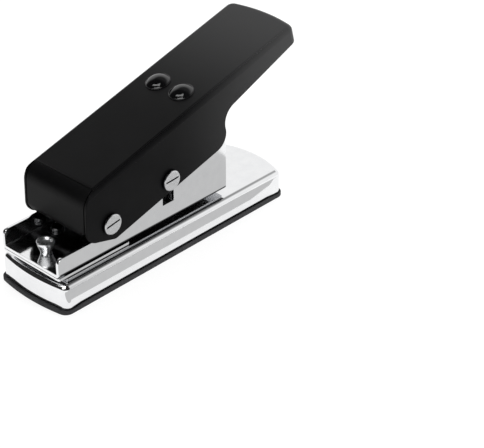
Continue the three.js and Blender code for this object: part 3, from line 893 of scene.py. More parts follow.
class Shading(Graph):
    """A material under construction, around one Principled shader."""

    def __init__(self, name: str) -> None:
        """Starts the material.

        Args:
            name: Its name.
        """
        self.material = bpy.data.materials.new(name)
        self.material.use_nodes = True
        super().__init__(self.material.node_tree)
        self.shader = self.tree.nodes["Principled BSDF"]

    @cached_property
    def coordinates(self) -> Socket:
        """The object's coordinates, in metres."""
        return self.add("ShaderNodeTexCoord").outputs["Object"]

    def noise(self, pattern: Pattern) -> Socket:
        """Adds a noise pattern and gives its socket, from 0 to 1.

        Args:
            pattern: The pattern.

        Returns:
            Its socket, from 0 to 1.
        """
        scale = pattern.per_metre
        if isinstance(scale, float):
            scale = (scale,) * 3
        place = self.add("ShaderNodeMapping", Vector=self.coordinates, Scale=scale)
        inputs = {"Scale": 1.0, "Detail": pattern.octaves, "Roughness": NOISE_ROUGHNESS}
        return self.add("ShaderNodeTexNoise", Vector=place.outputs[0], **inputs).outputs[0]

    def clouded(self, pattern: Socket, low: Colour, high: Colour) -> Socket:
        """Gives a colour between two others by a pattern.

        Args:
            pattern: A socket from 0 to 1.
            low: The colour at the pattern's usual low.
            high: The colour at its usual high.

        Returns:
            The colour's socket.
        """
        ramp = self.add("ShaderNodeValToRGB", pattern)
        for element, place, colour in zip(ramp.color_ramp.elements, USUAL_NOISE, (low, high)):
            element.position, element.color = place, (*colour, 1.0)
        return ramp.outputs[0]

    def faded(self, colour: Socket, share: Socket, other: Colour) -> Socket:
        """Fades a colour into another.

        Args:
            colour: The colour's socket.
            share: How much of the other colour there is, from 0 to 1.
            other: The other colour.

        Returns:
            The new colour's socket.
        """
        # Several of this node's sockets share a name, so the two for colours go by index
        node = self.add("ShaderNodeMix", share, settings={"data_type": "RGBA"})
        self.feed(node.inputs[6], colour)
        self.feed(node.inputs[7], (*other, 1.0))
        return node.outputs[2]

    def nearness(self, shade_box: PaintedShade) -> Socket:
        """Gives a socket that is 1 inside a box of painted shade and falls to 0 around it.

        Args:
            shade_box: The painted shade.

        Returns:
            The nearness's socket.
        """
        before = self.vector("SUBTRACT", shade_box.low, self.coordinates)
        behind = self.vector("SUBTRACT", self.coordinates, shade_box.high)
        outside = self.vector("MAXIMUM", self.vector("MAXIMUM", before, behind), (0.0, 0.0, 0.0))
        return self.ranged(self.vector("LENGTH", outside, result="Value"), shade_box.fade, 0.0)

    def set(self, **values: object) -> Material:
        """Feeds the shader's sockets, by name with _ for a space, and gives the material.

        Args:
            **values: What goes into each socket.

        Returns:
            The material.
        """
        for label, value in values.items():
            self.feed(self.shader.inputs[label.replace("_", " ")], value)
        return self.material

    def show(self, shader: Socket) -> Material:
        """Shows another shader in place of the Principled one and gives the material.

        Args:
            shader: The other shader's socket.

        Returns:
            The material.
        """
        self.tree.nodes.remove(self.shader)
        self.feed(self.tree.nodes["Material Output"].inputs["Surface"], shader)
        return self.material


@dataclass(frozen=True)
class Finish:
    """A finish of the punch: cloudy in colour and roughness, with a fine relief, a painted paler tip and
    painted shade.
    """

    name: str
    slot: Slot
    shade: Colour
    colour: Colour
    roughness: tuple[float, float]
    cloud: Pattern
    height: float
    strength: float
    relief: Pattern | None = None
    rough_by_relief: bool = False
    metallic: float = 0.0
    specular: float = 0.5
    painted_tip_light: Colour | None = None
    painted_shades: tuple[PaintedShade, ...] = ()

    def make(self) -> Material:
        """Builds the material.

        Returns:
            The material.
        """
        look = Shading(self.name)
        cloud = look.noise(self.cloud)
        relief = look.noise(self.relief) if self.relief else cloud
        colour = look.clouded(cloud, self.shade, self.colour)
        # Painted light: the colour grows paler towards the free end of the lever
        if self.painted_tip_light:
            along = look.add("ShaderNodeSeparateXYZ", look.coordinates).outputs["X"]
            colour = look.faded(colour, look.ranged(along, *PAINTED_LIGHT_ALONG), self.painted_tip_light)
        # Painted shade: each box darkens the colour where shade falls in seams, gaps and recesses
        for shade_box in self.painted_shades:
            colour = look.faded(colour, look.nearness(shade_box), shade_box.colour)
        rough = relief if self.rough_by_relief else cloud
        bumps = look.add("ShaderNodeBump", Height=relief, Distance=self.height, Strength=self.strength)
        return look.set(
            Base_Color=colour,
            Roughness=look.ranged(rough, *USUAL_NOISE, *self.roughness, eased=False),
            Normal=bumps.outputs[0],
            Metallic=self.metallic,
            Specular_IOR_Level=self.specular,
        )


@dataclass(frozen=True)
class PlatedSheet(Finish):
    """Bright plating on sheet steel: a mirror with a faint ripple and polishing haze."""

    shade: Colour = (0.82, 0.825, 0.835)
    colour: Colour = (0.86, 0.865, 0.87)
    roughness: tuple[float, float] = (0.03, 0.07)
    cloud: Pattern = Pattern(240.0, 4.0)
    height: float = 0.04 * MM
    strength: float = 0.1
    relief: Pattern | None = Pattern(60.0, 2.0)
    metallic: float = 1.0


@dataclass(frozen=True)
class BrushedSteel(Finish):
    """Ground or drawn steel with fine marks that run one way."""

    shade: Colour = (0.5, 0.51, 0.53)
    colour: Colour = (0.62, 0.63, 0.65)
    roughness: tuple[float, float] = (0.22, 0.36)
    cloud: Pattern = Pattern((300.0, 9000.0, 9000.0), 4.0)
    height: float = 0.004 * MM
    strength: float = 0.4
    metallic: float = 1.0


@dataclass(frozen=True)
class BakedPaint(Finish):
    """Black baked paint with a faint orange peel, painted paler towards the free end as painted light."""

    shade: Colour = (0.0032, 0.0032, 0.0034)
    colour: Colour = (0.0045, 0.0045, 0.0048)
    roughness: tuple[float, float] = (0.34, 0.4)
    cloud: Pattern = Pattern(90.0, 4.0)
    height: float = 0.01 * MM
    strength: float = 0.25
    relief: Pattern | None = Pattern(900.0, 2.0)
    specular: float = 0.08
    painted_tip_light: Colour | None = (0.047, 0.047, 0.0475)


@dataclass(frozen=True)
class MouldedRubber(Finish):
    """Matt moulded rubber with a fine grain."""

    shade: Colour = (0.022, 0.022, 0.024)
    colour: Colour = (0.032, 0.032, 0.034)
    roughness: tuple[float, float] = (0.62, 0.78)
    cloud: Pattern = Pattern(160.0, 4.0)
    height: float = 0.03 * MM
    strength: float = 0.5
    relief: Pattern | None = Pattern(5200.0, 3.0)
    rough_by_relief: bool = True
    specular: float = 0.35


@dataclass(frozen=True)
class MouldedNylon(Finish):
    """Natural nylon, slightly waxy."""

    shade: Colour = (0.74, 0.73, 0.68)
    colour: Colour = (0.8, 0.79, 0.75)
    roughness: tuple[float, float] = (0.45, 0.6)
    cloud: Pattern = Pattern(700.0, 3.0)
    height: float = 0.01 * MM
    strength: float = 0.2


class Finishes:
    """Every finish of the punch, each built once."""

    # These sizes place the boxes of painted shade in the plate stack, the screw slots and on the barrel shanks
    unshaded_rim: float = 0.35 * MM
    throat_inset: float = 0.6 * MM
    throat_fade: float = 0.45 * MM
    throat_open_end: float = 8 * MM
    foot_line: float = 0.55 * MM
    foot_fade: float = 0.25 * MM
    gap_height: float = 0.55 * MM
    gap_fade: float = 0.25 * MM
    bend_height: float = 1 * MM
    bend_fade: float = 0.55 * MM

    def __init__(self) -> None:
        """Describes the finishes."""
        self.made: dict[str, Material] = {}
        # The plating and the die steel below carry these boxes of painted shade
        throat, gap, foot_lines, bends = self.stack_shade_boxes()
        self.base_plating = PlatedSheet("base_plating", Slot.CHROME, painted_shades=foot_lines)
        self.stud_plating = PlatedSheet("stud_plating", Slot.CHROME, roughness=(0.24, 0.32))
        # Painted shade: a darkened copy of the stud plating for the low studs, which sit under the lever's flap
        self.low_stud_plating = PlatedSheet(
            "low_stud_plating",
            Slot.CHROME,
            shade=(0.07, 0.07, 0.072),
            colour=(0.1, 0.1, 0.102),
            roughness=(0.12, 0.2),
        )
        self.frame_plating = PlatedSheet(
            "frame_plating",
            Slot.CHROME,
            roughness=(0.07, 0.13),
            height=0.02 * MM,
            painted_shades=(throat, gap, *bends),
        )
        self.plate_steel = BrushedSteel(
            "plate_steel", Slot.TOOL_STEEL, roughness=(0.34, 0.44), painted_shades=(throat,)
        )
        # The tool steel is darker than the other steel: partly the own colour of oiled steel, partly painted
        # shade for the carrier inside the frame
        self.tool_steel = BrushedSteel(
            "tool_steel",
            Slot.TOOL_STEEL,
            shade=(0.2, 0.2, 0.205),
            colour=(0.3, 0.3, 0.305),
            cloud=Pattern((9000.0, 9000.0, 300.0), 4.0),
        )
        self.spring_wire = BrushedSteel("spring_wire", Slot.SPRING_STEEL, cloud=Pattern(4000.0, 4.0))
        self.pin_steel = BrushedSteel(
            "pin_steel",
            Slot.BRIGHT_STEEL,
            shade=(0.72, 0.725, 0.735),
            colour=(0.84, 0.845, 0.85),
            roughness=(0.16, 0.3),
            cloud=Pattern((2500.0, 2500.0, 9000.0), 4.0),
        )
        # Painted shade: the screw steel turns dark deeper than a thin rim behind the head's face, so the slots
        # show shaded
        slot_floor = Room.of("pivot_screw").low.y + self.unshaded_rim
        in_slot = PaintedShade((-WIDE, slot_floor, -WIDE), (WIDE, WIDE, WIDE))
        self.screw_steel = replace(self.pin_steel, name="screw_steel", painted_shades=(in_slot,))
        # Painted shade: the barrels are dark everywhere short of the head, where they lie inside the lever
        head_seat = Room.of("lever_shell").high.y - self.unshaded_rim
        on_shank = PaintedShade((-WIDE, -WIDE, -WIDE), (WIDE, head_seat, WIDE), colour=(0.04, 0.04, 0.041))
        self.barrel_steel = replace(self.pin_steel, name="barrel_steel", painted_shades=(on_shank,))
        # The lever's and the rivets' paint are painted paler towards the free end, as painted light
        self.lever_paint = BakedPaint("lever_paint", Slot.BLACK_PAINT)
        self.rivet_paint = BakedPaint(
            "rivet_paint",
            Slot.BLACK_GLOSS,
            roughness=(0.05, 0.09),
            height=0.002 * MM,
            specular=0.6,
            painted_tip_light=(0.007, 0.007, 0.0074),
        )
        self.rubber = MouldedRubber("foot_rubber", Slot.RUBBER)
        self.nylon = MouldedNylon("washer_nylon", Slot.NYLON)

    def stack_shade_boxes(self) -> tuple[PaintedShade, PaintedShade, tuple[PaintedShade, ...], tuple[PaintedShade, ...]]:
        """Finds where shade is painted in the stack of plates under the frame.

        Returns:
            The throat, the gap between the two spacer plates, the line along the plates' foot on each side
            and the frame's bend on each side.
        """
        die, lower, frame = (Room.of(node) for node in ("die_plate", "lower_spacer_plate", "punch_frame"))
        west, east, side = die.low.x, die.high.x, die.high.y
        inset, line, bend = self.throat_inset, self.foot_line, self.bend_height
        # Painted shade in the throat: the die's top and the frame's underside darkened, short of the open rear
        # end
        throat_end = (east - self.throat_open_end, side - inset, frame.low.z)
        throat = PaintedShade((west, inset - side, die.high.z), throat_end, self.throat_fade)
        # Painted shade in the gap between the two spacer plates
        gap = PaintedShade((west, -side, lower.high.z - self.gap_height), (east, side, lower.high.z), self.gap_fade)
        bend_low, bend_start = frame.low.z + self.bend_fade, frame.low.x + bend
        # Painted shade and painted reflection: a dark line on the shell along the plates' foot on each side
        foot_lines = tuple(
            PaintedShade((west, south, die.low.z - line), (east, south + line, die.low.z + line), self.foot_fade)
            for south in (-side - line, side)
        )
        # Painted dark reflection on the frame's lower bend on each side
        bends = tuple(
            PaintedShade(
                (bend_start, south, bend_low), (frame.high.x, south + line, bend_low + bend), self.bend_fade
            )
            for south in (-side, side - line)
        )
        return throat, gap, foot_lines, bends

    def of(self, finish: Finish) -> Material:
        """Gives a finish's material, built at its first use.

        Args:
            finish: The finish.

        Returns:
            The material.
        """
        if finish.name not in self.made:
            self.made[finish.name] = finish.make()
        return self.made[finish.name]

    def paint(self, piece: Piece, finish: Finish) -> None:
        """Gives a piece a finish as its only material."""
        piece.data.materials.clear()
        piece.data.materials.append(self.of(finish))

    def fit(self, piece: Piece, body: Body, finish: Finish, *nodes: str) -> None:
        """Finishes a piece and hangs it on its body.

        Args:
            piece: The piece.
            body: The body that it moves with.
            finish: Its finish.
            *nodes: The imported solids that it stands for.
        """
        self.paint(piece, finish)
        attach(piece, body.value)
        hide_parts(*nodes)
        log.info("%s on %s: %d faces, %s", piece.name, body.value, len(piece.data.polygons), finish.name)

    def dress(self, node: str, finish: Finish) -> None:
        """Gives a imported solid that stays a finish."""
        self.paint(bpy.data.objects[node], finish)
        log.info("%s keeps its solid: %s", node, finish.name)


# Joints


def hinge_joint() -> dict:
    """The lever's hinge, as the record has it."""
    return next(joint for joint in FRAME["joints"] if joint["type"] == "hinge")


def slide_joint() -> dict:
    """The punch's slide, as the record has it."""
    return next(joint for joint in FRAME["joints"] if joint["type"] == "slide")


def hinge_place() -> Vector:
    """Where the lever's hinge is."""
    return Vector(hinge_joint()["pos_m"])


def rest_tilt() -> float:
    """How far the lever slopes at rest, which is its hinge's whole range."""
    return math.radians(hinge_joint()["range_deg"][1])


# Sub-assemblies


@dataclass
class BaseSet:
    """The rubber foot, the drawn base shell, the die plate and the two spacer plates."""

    finishes: Finishes
    pick: Pick
    sheet: float = 1.2 * MM
    front_bow: float = 2.3 * MM
    rear_bow: float = 4.8 * MM
    corner: float = 3.2 * MM
    edge_radius: float = 2.6 * MM
    rim_edge: float = 0.2 * MM
    window_margin: float = 1.2 * MM
    foot_floor: float = 1.6 * MM
    lip_fit: float = 0.05 * MM
    lip_groove: float = 0.3 * MM
    lip_groove_depth: float = 0.9 * MM
    foot_corner: float = 4 * MM
    foot_edge: float = 0.2 * MM
    foot_window_margin: float = 2.6 * MM
    relief_height: float = 1.9 * MM
    relief_bottom_width: float = 6 * MM
    relief_top_width: float = 12.5 * MM
    relief_rounding: float = 0.9 * MM
    plate_corner: float = 0.8 * MM
    plate_edge: float = 0.15 * MM
    die_clearance: float = 0.1 * MM

    def build(self) -> None:
        """Builds and dresses the five pieces."""
        self.room = Room.of("base_shell")
        self.plan = BowedPlan(self.room.size.x, self.room.size.y, self.front_bow, self.rear_bow, self.corner)
        self.tool_x = Room.of("pick_punch").centre.x
        self.stud_holes = bores(STUDS, STUD_HOLE)
        looks = self.finishes
        looks.fit(self.shell(), Body.BASE, looks.base_plating, "base_shell")
        looks.fit(self.foot(), Body.BASE, looks.rubber, "rubber_foot")
        die = self.slab("die", "die_plate", self.pick_at(self.die_clearance))
        looks.fit(die, Body.BASE, looks.plate_steel, "die_plate")
        for node in ("lower_spacer_plate", "spacer_plate"):
            looks.fit(self.slab(node.removesuffix("_plate"), node), Body.BASE, looks.frame_plating, node)

    def plan_at(self, margin: float) -> Outline:
        """The shell's plan in place, grown by a margin."""
        return shifted(self.plan.outline(margin), self.room.centre.x, 0)

    def pick_at(self, margin: float) -> Outline:
        """The pick's outline in place, grown by a margin."""
        return shifted(self.pick.outline(margin), self.tool_x, 0)

    def shell(self) -> Piece:
        """Draws the base shell: rounded above, open below, with a window under the die.

        Returns:
            The piece.
        """
        low, high = self.room.low.z, self.room.high.z
        shell = rounded_top("base_cover", self.plan_at, low, high, self.edge_radius)
        hollow = rounded_top(
            "cutter",
            lambda margin: self.plan_at(margin - self.sheet),
            low - OVERRUN,
            high - self.sheet,
            self.edge_radius - self.sheet,
        )
        combine(shell, hollow)
        for outline in [self.pick_at(self.window_margin), *self.stud_holes]:
            combine(shell, prism(outline, low, high + OVERRUN))
        return soften(shell, self.rim_edge)

    def relief(self, side_x: int, side_y: int) -> Piece:
        """A cutter for the dip in the lip at one corner.

        Args:
            side_x: -1 at the hinge end, 1 at the other.
            side_y: -1 or 1, the side.

        Returns:
            The cutter.
        """
        lip = Room.of("rubber_foot").high.z
        spread = (self.relief_top_width - self.relief_bottom_width) / 2 / (lip - self.relief_height)
        half = self.relief_top_width / 2 + spread * OVERRUN
        profile = rounded_path([
            Corner(-half, lip + OVERRUN),
            Corner(-self.relief_bottom_width / 2, self.relief_height, self.relief_rounding),
            Corner(self.relief_bottom_width / 2, self.relief_height, self.relief_rounding),
            Corner(half, lip + OVERRUN),
        ])
        cutter = across(profile, self.corner + OVERRUN)
        turn = Matrix.Rotation(math.atan2(side_y, side_x) + math.pi / 2, 4, "Z")
        bow = self.front_bow if side_x < 0 else self.rear_bow
        reach = self.room.size.x / 2 - bow
        place = Vector((self.room.centre.x + side_x * reach, side_y * self.room.size.y / 2, 0))
        return moved(cutter, Matrix.Translation(place) @ turn)

    def foot(self) -> Piece:
        """Moulds the rubber foot: a tray whose lip leaves a narrow groove beside the shell.

        Returns:
            The piece.
        """
        outer = Room.of("rubber_foot")
        plan = BowedPlan(outer.size.x, outer.size.y, self.front_bow, self.rear_bow, self.foot_corner)
        foot = prism(shifted(plan.outline(), outer.centre.x, 0), outer.low.z, outer.high.z)
        foot.name = "foot_tray"
        combine(foot, prism(self.plan_at(self.lip_fit), self.foot_floor, outer.high.z + OVERRUN))
        floor = outer.high.z - self.lip_groove_depth
        combine(foot, prism(self.plan_at(self.lip_groove), floor, outer.high.z + OVERRUN))
        for side_x in (-1, 1):
            for side_y in (-1, 1):
                combine(foot, self.relief(side_x, side_y))
        window = prism(self.pick_at(self.foot_window_margin), -OVERRUN, outer.high.z)
        combine(foot, window)
        return soften(foot, self.foot_edge)

    def slab(self, name: str, node: str, *holes: Outline) -> Piece:
        """Makes a flat plate that fills its solid's room, with holes for the studs.

        Args:
            name: The piece's name.
            node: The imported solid.
            *holes: Outlines of further holes.

        Returns:
            The piece.
        """
        room = Room.of(node)
        outline = rectangle(room.low.x, room.high.x, room.low.y, room.high.y, self.plate_corner)
        holes = (*holes, *self.stud_holes)
        return smooth(plate(name, outline, room.low.z, room.high.z, self.plate_edge, holes))


@dataclass
class FrameSet:
    """The slotted punch frame, its studs, the return springs and their seats."""

    finishes: Finishes
    pick: Pick
    sheet: float = 1.5 * MM
    bend: float = 2 * MM
    inner_bend: float = 0.5 * MM
    edge: float = 0.22 * MM
    front_height: float = 9.05 * MM
    front_corner: float = 2.8 * MM
    ear_start: float = 20.4 * MM
    ear_rise: float = 22.4 * MM
    ear_corner: float = 6 * MM
    shoulder: float = 72.4 * MM
    shoulder_rounding: float = 8 * MM
    rear_height: float = 24.5 * MM
    rear_corner: float = 2.5 * MM
    pin_clearance: float = 0.15 * MM
    slot_clearance: float = 0.1 * MM
    slot_margin: float = 0.2 * MM
    guide_clearance: float = 0.15 * MM
    seat_hole: float = 3.3 * MM
    stud_neck: float = 4.8 * MM
    stud_flare: float = 0.1 * MM
    stud_rim: float = 1 * MM
    stud_dimple: float = 0.9 * MM
    stud_tail: float = 6.4 * MM
    stud_tail_thickness: float = 1.1 * MM
    stud_shank: float = 4 * MM
    stud_edge: float = 0.3 * MM
    low_head: float = 6 * MM
    low_head_height: float = 1.6 * MM
    low_head_round: float = 1.1 * MM
    wire: float = 0.7 * MM
    turns: float = 7.0
    closed_turns: float = 1.0
    steps_per_turn: int = 28
    end_gap: float = 0.12 * MM
    pressed_share: float = 0.325

    def build(self) -> None:
        """Builds and dresses the frame and what stands in it."""
        self.room = Room.of("punch_frame")
        looks = self.finishes
        looks.fit(self.channel(), Body.BASE, looks.frame_plating, "punch_frame")
        looks.fit(self.tall_stud(STUDS[0]), Body.BASE, looks.stud_plating, STUDS[0])
        looks.fit(self.low_studs(STUDS[1:]), Body.BASE, looks.low_stud_plating, *STUDS[1:])
        springs = ("return_spring_front", "return_spring_rear")
        looks.fit(self.springs(springs), Body.BASE, looks.spring_wire, *springs)
        for seat in SEATS:
            looks.dress(seat, looks.pin_steel)

    def profile(self) -> Outline:
        """The channel's section, open above.

        Returns:
            The outline.
        """
        side = self.room.size.y / 2
        inside = side - self.sheet
        low, high = self.room.low.z, self.room.high.z + OVERRUN
        floor = low + self.sheet
        return rounded_path([
            Corner(-side, low, self.bend),
            Corner(side, low, self.bend),
            Corner(side, high),
            Corner(inside, high),
            Corner(inside, floor, self.inner_bend),
            Corner(-inside, floor, self.inner_bend),
            Corner(-inside, high),
            Corner(-side, high),
        ])

    def side_outline(self) -> Outline:
        """The outline that both walls are cut to.

        Returns:
            The outline.
        """
        west, east = self.room.low.x, self.room.high.x
        low, high = self.room.low.z, self.room.high.z
        return rounded_path([
            Corner(west, low - OVERRUN),
            Corner(east, low - OVERRUN),
            Corner(east, low + self.rear_height, self.rear_corner),
            Corner(west + self.shoulder, high, self.shoulder_rounding),
            Corner(west + self.ear_rise, high, self.ear_corner),
            Corner(west + self.ear_start, low + self.front_height, self.front_corner),
            Corner(west, low + self.front_height, self.front_corner),
        ])

    def slot(self) -> Piece:
        """A cutter for the upright slots that the drive pin runs in.

        Returns:
            The cutter.
        """
        pin, hinge = Room.of("drive_barrel").centre, hinge_place()
        radius = DRIVE_DIAMETER / 2
        reach = Vector((pin.x - hinge.x, pin.z - hinge.z)).length
        tool_x = Room.of("pick_punch").centre.x
        half = abs(hinge.x + reach - pin.x) / 2 + radius + self.slot_clearance
        drop = slide_joint()["range_m"][1]
        low = pin.z - drop - radius - self.slot_margin
        high = pin.z + radius + self.slot_margin
        rounding = radius + self.slot_clearance
        return across(rounded_path([
            Corner(tool_x - half, low),
            Corner(tool_x + half, low),
            Corner(tool_x + half, high, rounding),
            Corner(tool_x - half, high, rounding),
        ]), self.room.size.y)

    def channel(self) -> Piece:
        """Bends the frame from sheet and cuts its slots and holes.

        Returns:
            The piece.
        """
        frame = lengthwise("channel_frame", self.profile(), self.room.low.x, self.room.high.x)
        combine(frame, across(self.side_outline(), self.room.size.y), Cut.KEEP)
        combine(frame, self.slot())
        hinge = hinge_place()
        bore = circle(PIVOT_DIAMETER + 2 * self.pin_clearance, hinge.x, hinge.z)
        combine(frame, across(bore, self.room.size.y))
        guide = shifted(self.pick.outline(self.guide_clearance), Room.of("pick_punch").centre.x, 0)
        low = self.room.low.z
        for outline in (guide, *bores(STUDS, STUD_HOLE), *bores(SEATS, self.seat_hole)):
            combine(frame, prism(outline, low - OVERRUN, low + self.sheet + OVERRUN))
        return soften(frame, self.edge)

    def stud(self, name: str, room: Room, head: Sequence[Corner]) -> Piece:
        """Turns a stud on the Z axis.

        Args:
            name: The piece's name.
            room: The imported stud's room.
            head: The corners of its head, from the frame's floor to the axis.

        Returns:
            The piece.
        """
        return smooth(turned(name, [
            Corner(0, room.low.z),
            Corner(self.stud_tail / 2, room.low.z, self.stud_edge),
            Corner(self.stud_tail / 2, room.low.z + self.stud_tail_thickness, self.stud_edge),
            Corner(self.stud_shank / 2, room.low.z + self.stud_tail_thickness),
            Corner(self.stud_shank / 2, self.room.low.z + self.sheet),
            *head,
        ]))

    def tall_stud(self, node: str) -> Piece:
        """Sets the waisted stud, which has a hollow head.

        Args:
            node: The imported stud.

        Returns:
            The piece.
        """
        room = Room.of(node)
        floor = self.room.low.z + self.sheet
        top = room.high.z
        rim = room.size.x / 2
        stud = self.stud("tall_stud", room, [
            Corner(self.stud_neck / 2, floor),
            Corner(self.stud_neck / 2 + self.stud_flare, floor + self.stud_rim, self.stud_rim),
            Corner(rim, top - self.stud_rim, self.stud_edge),
            Corner(rim, top, self.stud_edge),
            Corner(rim - self.stud_rim, top, self.stud_edge),
            Corner(self.stud_shank / 2 + self.stud_edge, top - self.stud_dimple, self.stud_edge),
            Corner(0, top - self.stud_dimple),
        ])
        return moved(stud, Matrix.Translation((room.centre.x, 0, 0)))

    def low_studs(self, nodes: tuple[str, ...]) -> Piece:
        """Sets the two low rivets behind the tall stud.

        Args:
            nodes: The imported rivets.

        Returns:
            The piece.
        """
        room = Room.of(nodes[0])
        head = self.low_head / 2
        stock = self.stud("stock_stud", room, [
            Corner(head, room.high.z - self.low_head_height),
            Corner(head, room.high.z, self.low_head_round),
            Corner(0, room.high.z),
        ])
        places = [Vector((centre.x, centre.y, 0)) for centre in centres(nodes)]
        return repeated("low_studs", stock, places, self.finishes.of(self.finishes.low_stud_plating))

    def springs(self, nodes: tuple[str, ...]) -> Piece:
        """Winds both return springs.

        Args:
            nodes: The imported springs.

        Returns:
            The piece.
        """
        room = Room.of(nodes[0])
        floor = self.room.low.z + self.sheet
        low = floor + self.end_gap + self.wire / 2
        high = Room.of("punch_carrier").low.z - self.end_gap - self.wire / 2
        places = [Vector((centre.x, centre.y, low)) for centre in centres(nodes)]
        springs = grow("springs", coil_tree(), places, {
            "Coil Diameter": room.size.y - self.wire,
            "Wire": self.wire,
            "Height": high - low,
            "Turns": self.turns,
            "Closed": self.closed_turns,
            "Steps": int(self.turns * self.steps_per_turn),
            "Finish": self.finishes.of(self.finishes.spring_wire),
        })
        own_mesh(springs)
        return springs


@dataclass
class LeverSet:
    """The drawn lever, its two rivets and the brace under its top."""

    finishes: Finishes
    tip: float = 123.1 * MM
    top: float = 20.3 * MM
    sheet: float = 1.2 * MM
    bend: float = 2.6 * MM
    corner: float = 4 * MM
    tip_bow: float = 2.3 * MM
    belly: float = 8.9 * MM
    front_top: float = 7.75 * MM
    front_foot: float = 14.25 * MM
    nose_drop: float = 0.55 * MM
    front_bend: float = 9 * MM
    nose_rounding: float = 6.5 * MM
    belly_rounding: float = 3 * MM
    heel: float = 70.3 * MM
    heel_rounding: float = 7.2 * MM
    neck: float = 6 * MM
    neck_rounding: float = 8.2 * MM
    tip_underside: float = 12.5 * MM
    flap_lower_edge: float = 1.6 * MM
    flap_corner: float = 2.4 * MM
    flap_corner_rounding: float = 2.6 * MM
    slit: float = 0.45 * MM
    slit_end: float = 2.6 * MM
    edge: float = 0.2 * MM
    pin_clearance: float = 0.15 * MM
    drive_u: float = 34.5 * MM
    drive_drop: float = 3.1 * MM
    rivet_u: float = 61.1 * MM
    rivet_spacing: float = 14.1 * MM
    rivet_head: float = 11.2 * MM
    rivet_dome: float = 2.7 * MM
    rivet_shank: float = 5 * MM
    rivet_tail: float = 7.4 * MM
    rivet_tail_thickness: float = 1.2 * MM
    rivet_rim: float = 0.35 * MM
    seat_gap: float = 0.1 * MM
    brace_thickness: float = 1.5 * MM
    brace_edge: float = 0.2 * MM

    def build(self) -> None:
        """Builds and dresses the lever, its rivets and its brace."""
        self.width = Room.of("lever_shell").size.y
        self.place = Matrix.Translation(hinge_place()) @ Matrix.Rotation(-rest_tilt(), 4, "Y")
        looks = self.finishes
        looks.fit(self.shell(), Body.LEVER, looks.lever_paint, "lever_shell")
        rivets = ("lever_rivet_left", "lever_rivet_right")
        looks.fit(self.rivets(), Body.LEVER, looks.rivet_paint, *rivets)
        brace = softened_copy("lever_brace", "brace", self.brace_edge)
        looks.fit(brace, Body.LEVER, looks.plate_steel, "lever_brace")

    def plan_at(self, margin: float) -> Outline:
        """The plan of the lever's top, mirrored past its front so that only the tip shows its bow."""
        return BowedPlan(2 * self.tip, self.width, self.tip_bow, self.tip_bow, self.corner).outline(margin)

    def side_outline(self) -> Outline:
        """The outline that the side plates are cut to, with the front bend.

        Returns:
            The outline.
        """
        return rounded_path([
            Corner(-self.front_top, self.top, self.front_bend),
            Corner(-self.front_foot, -self.nose_drop, self.nose_rounding),
            Corner(0, -self.belly, self.belly_rounding),
            Corner(self.heel, -self.belly, self.heel_rounding),
            Corner(self.heel, self.neck, self.neck_rounding),
            Corner(self.tip + OVERRUN, self.tip_underside),
            Corner(self.tip + OVERRUN, self.top),
        ])

    def hollow(self) -> Piece:
        """The cutter for the space inside the lever.

        Returns:
            The cutter.
        """
        inside = self.top - self.sheet
        low = -self.belly - OVERRUN
        hollow = rounded_top(
            "cutter", lambda margin: self.plan_at(margin - self.sheet), low, inside, self.bend - self.sheet
        )
        side = across(rounded_path([
            Corner(-self.front_top + self.sheet, inside, self.front_bend - self.sheet),
            Corner(-self.front_foot + self.sheet, -self.nose_drop),
            Corner(-self.front_foot + self.sheet, low),
            Corner(self.tip, low),
            Corner(self.tip, inside),
        ]), self.width)
        return combine(hollow, side, Cut.KEEP)

    def under_flap(self, front: float, inside: float, low: float) -> Piece:
        """The cutter that ends the flap with round corners.

        Args:
            front: How far forward it reaches.
            inside: Half the width between the side plates.
            low: Its underside.

        Returns:
            The cutter.
        """
        edge, corner = self.flap_lower_edge, self.flap_corner
        section = rounded_path([
            Corner(-inside, low),
            Corner(inside, low),
            Corner(inside, edge + corner),
            Corner(inside - corner, edge, self.flap_corner_rounding),
            Corner(-inside + corner, edge, self.flap_corner_rounding),
            Corner(-inside, edge + corner),
        ])
        return lengthwise("cutter", section, front, 0)

    def shell(self) -> Piece:
        """Draws the lever and bends its front flap between the side plates.

        Returns:
            The piece.
        """
        low = -self.belly - OVERRUN
        lever = rounded_top("lever_cover", self.plan_at, low, self.top, self.bend)
        combine(lever, across(self.side_outline(), self.width), Cut.KEEP)
        combine(lever, self.hollow())
        inside = self.width / 2 - self.sheet
        front = -self.front_foot - OVERRUN
        combine(lever, self.under_flap(front, inside, low))
        for bore, u, w in (
            (PIVOT_DIAMETER, 0, 0),
            (DRIVE_DIAMETER, self.drive_u, -self.drive_drop),
        ):
            combine(lever, across(circle(bore + 2 * self.pin_clearance, u, w), self.width))
        for side in Side:
            south, north = sorted((side.value * inside, side.value * (inside - self.slit)))
            slit = rectangle(front, -self.slit_end, south, north, 0)
            combine(lever, prism(slit, low, self.top + OVERRUN))
            bore, place = self.rivet_shank + 2 * self.pin_clearance, side.value * self.rivet_spacing / 2
            hole = circle(bore, self.rivet_u, place)
            combine(lever, prism(hole, 0, self.top + OVERRUN))
        return moved(soften(lever, self.edge), self.place)

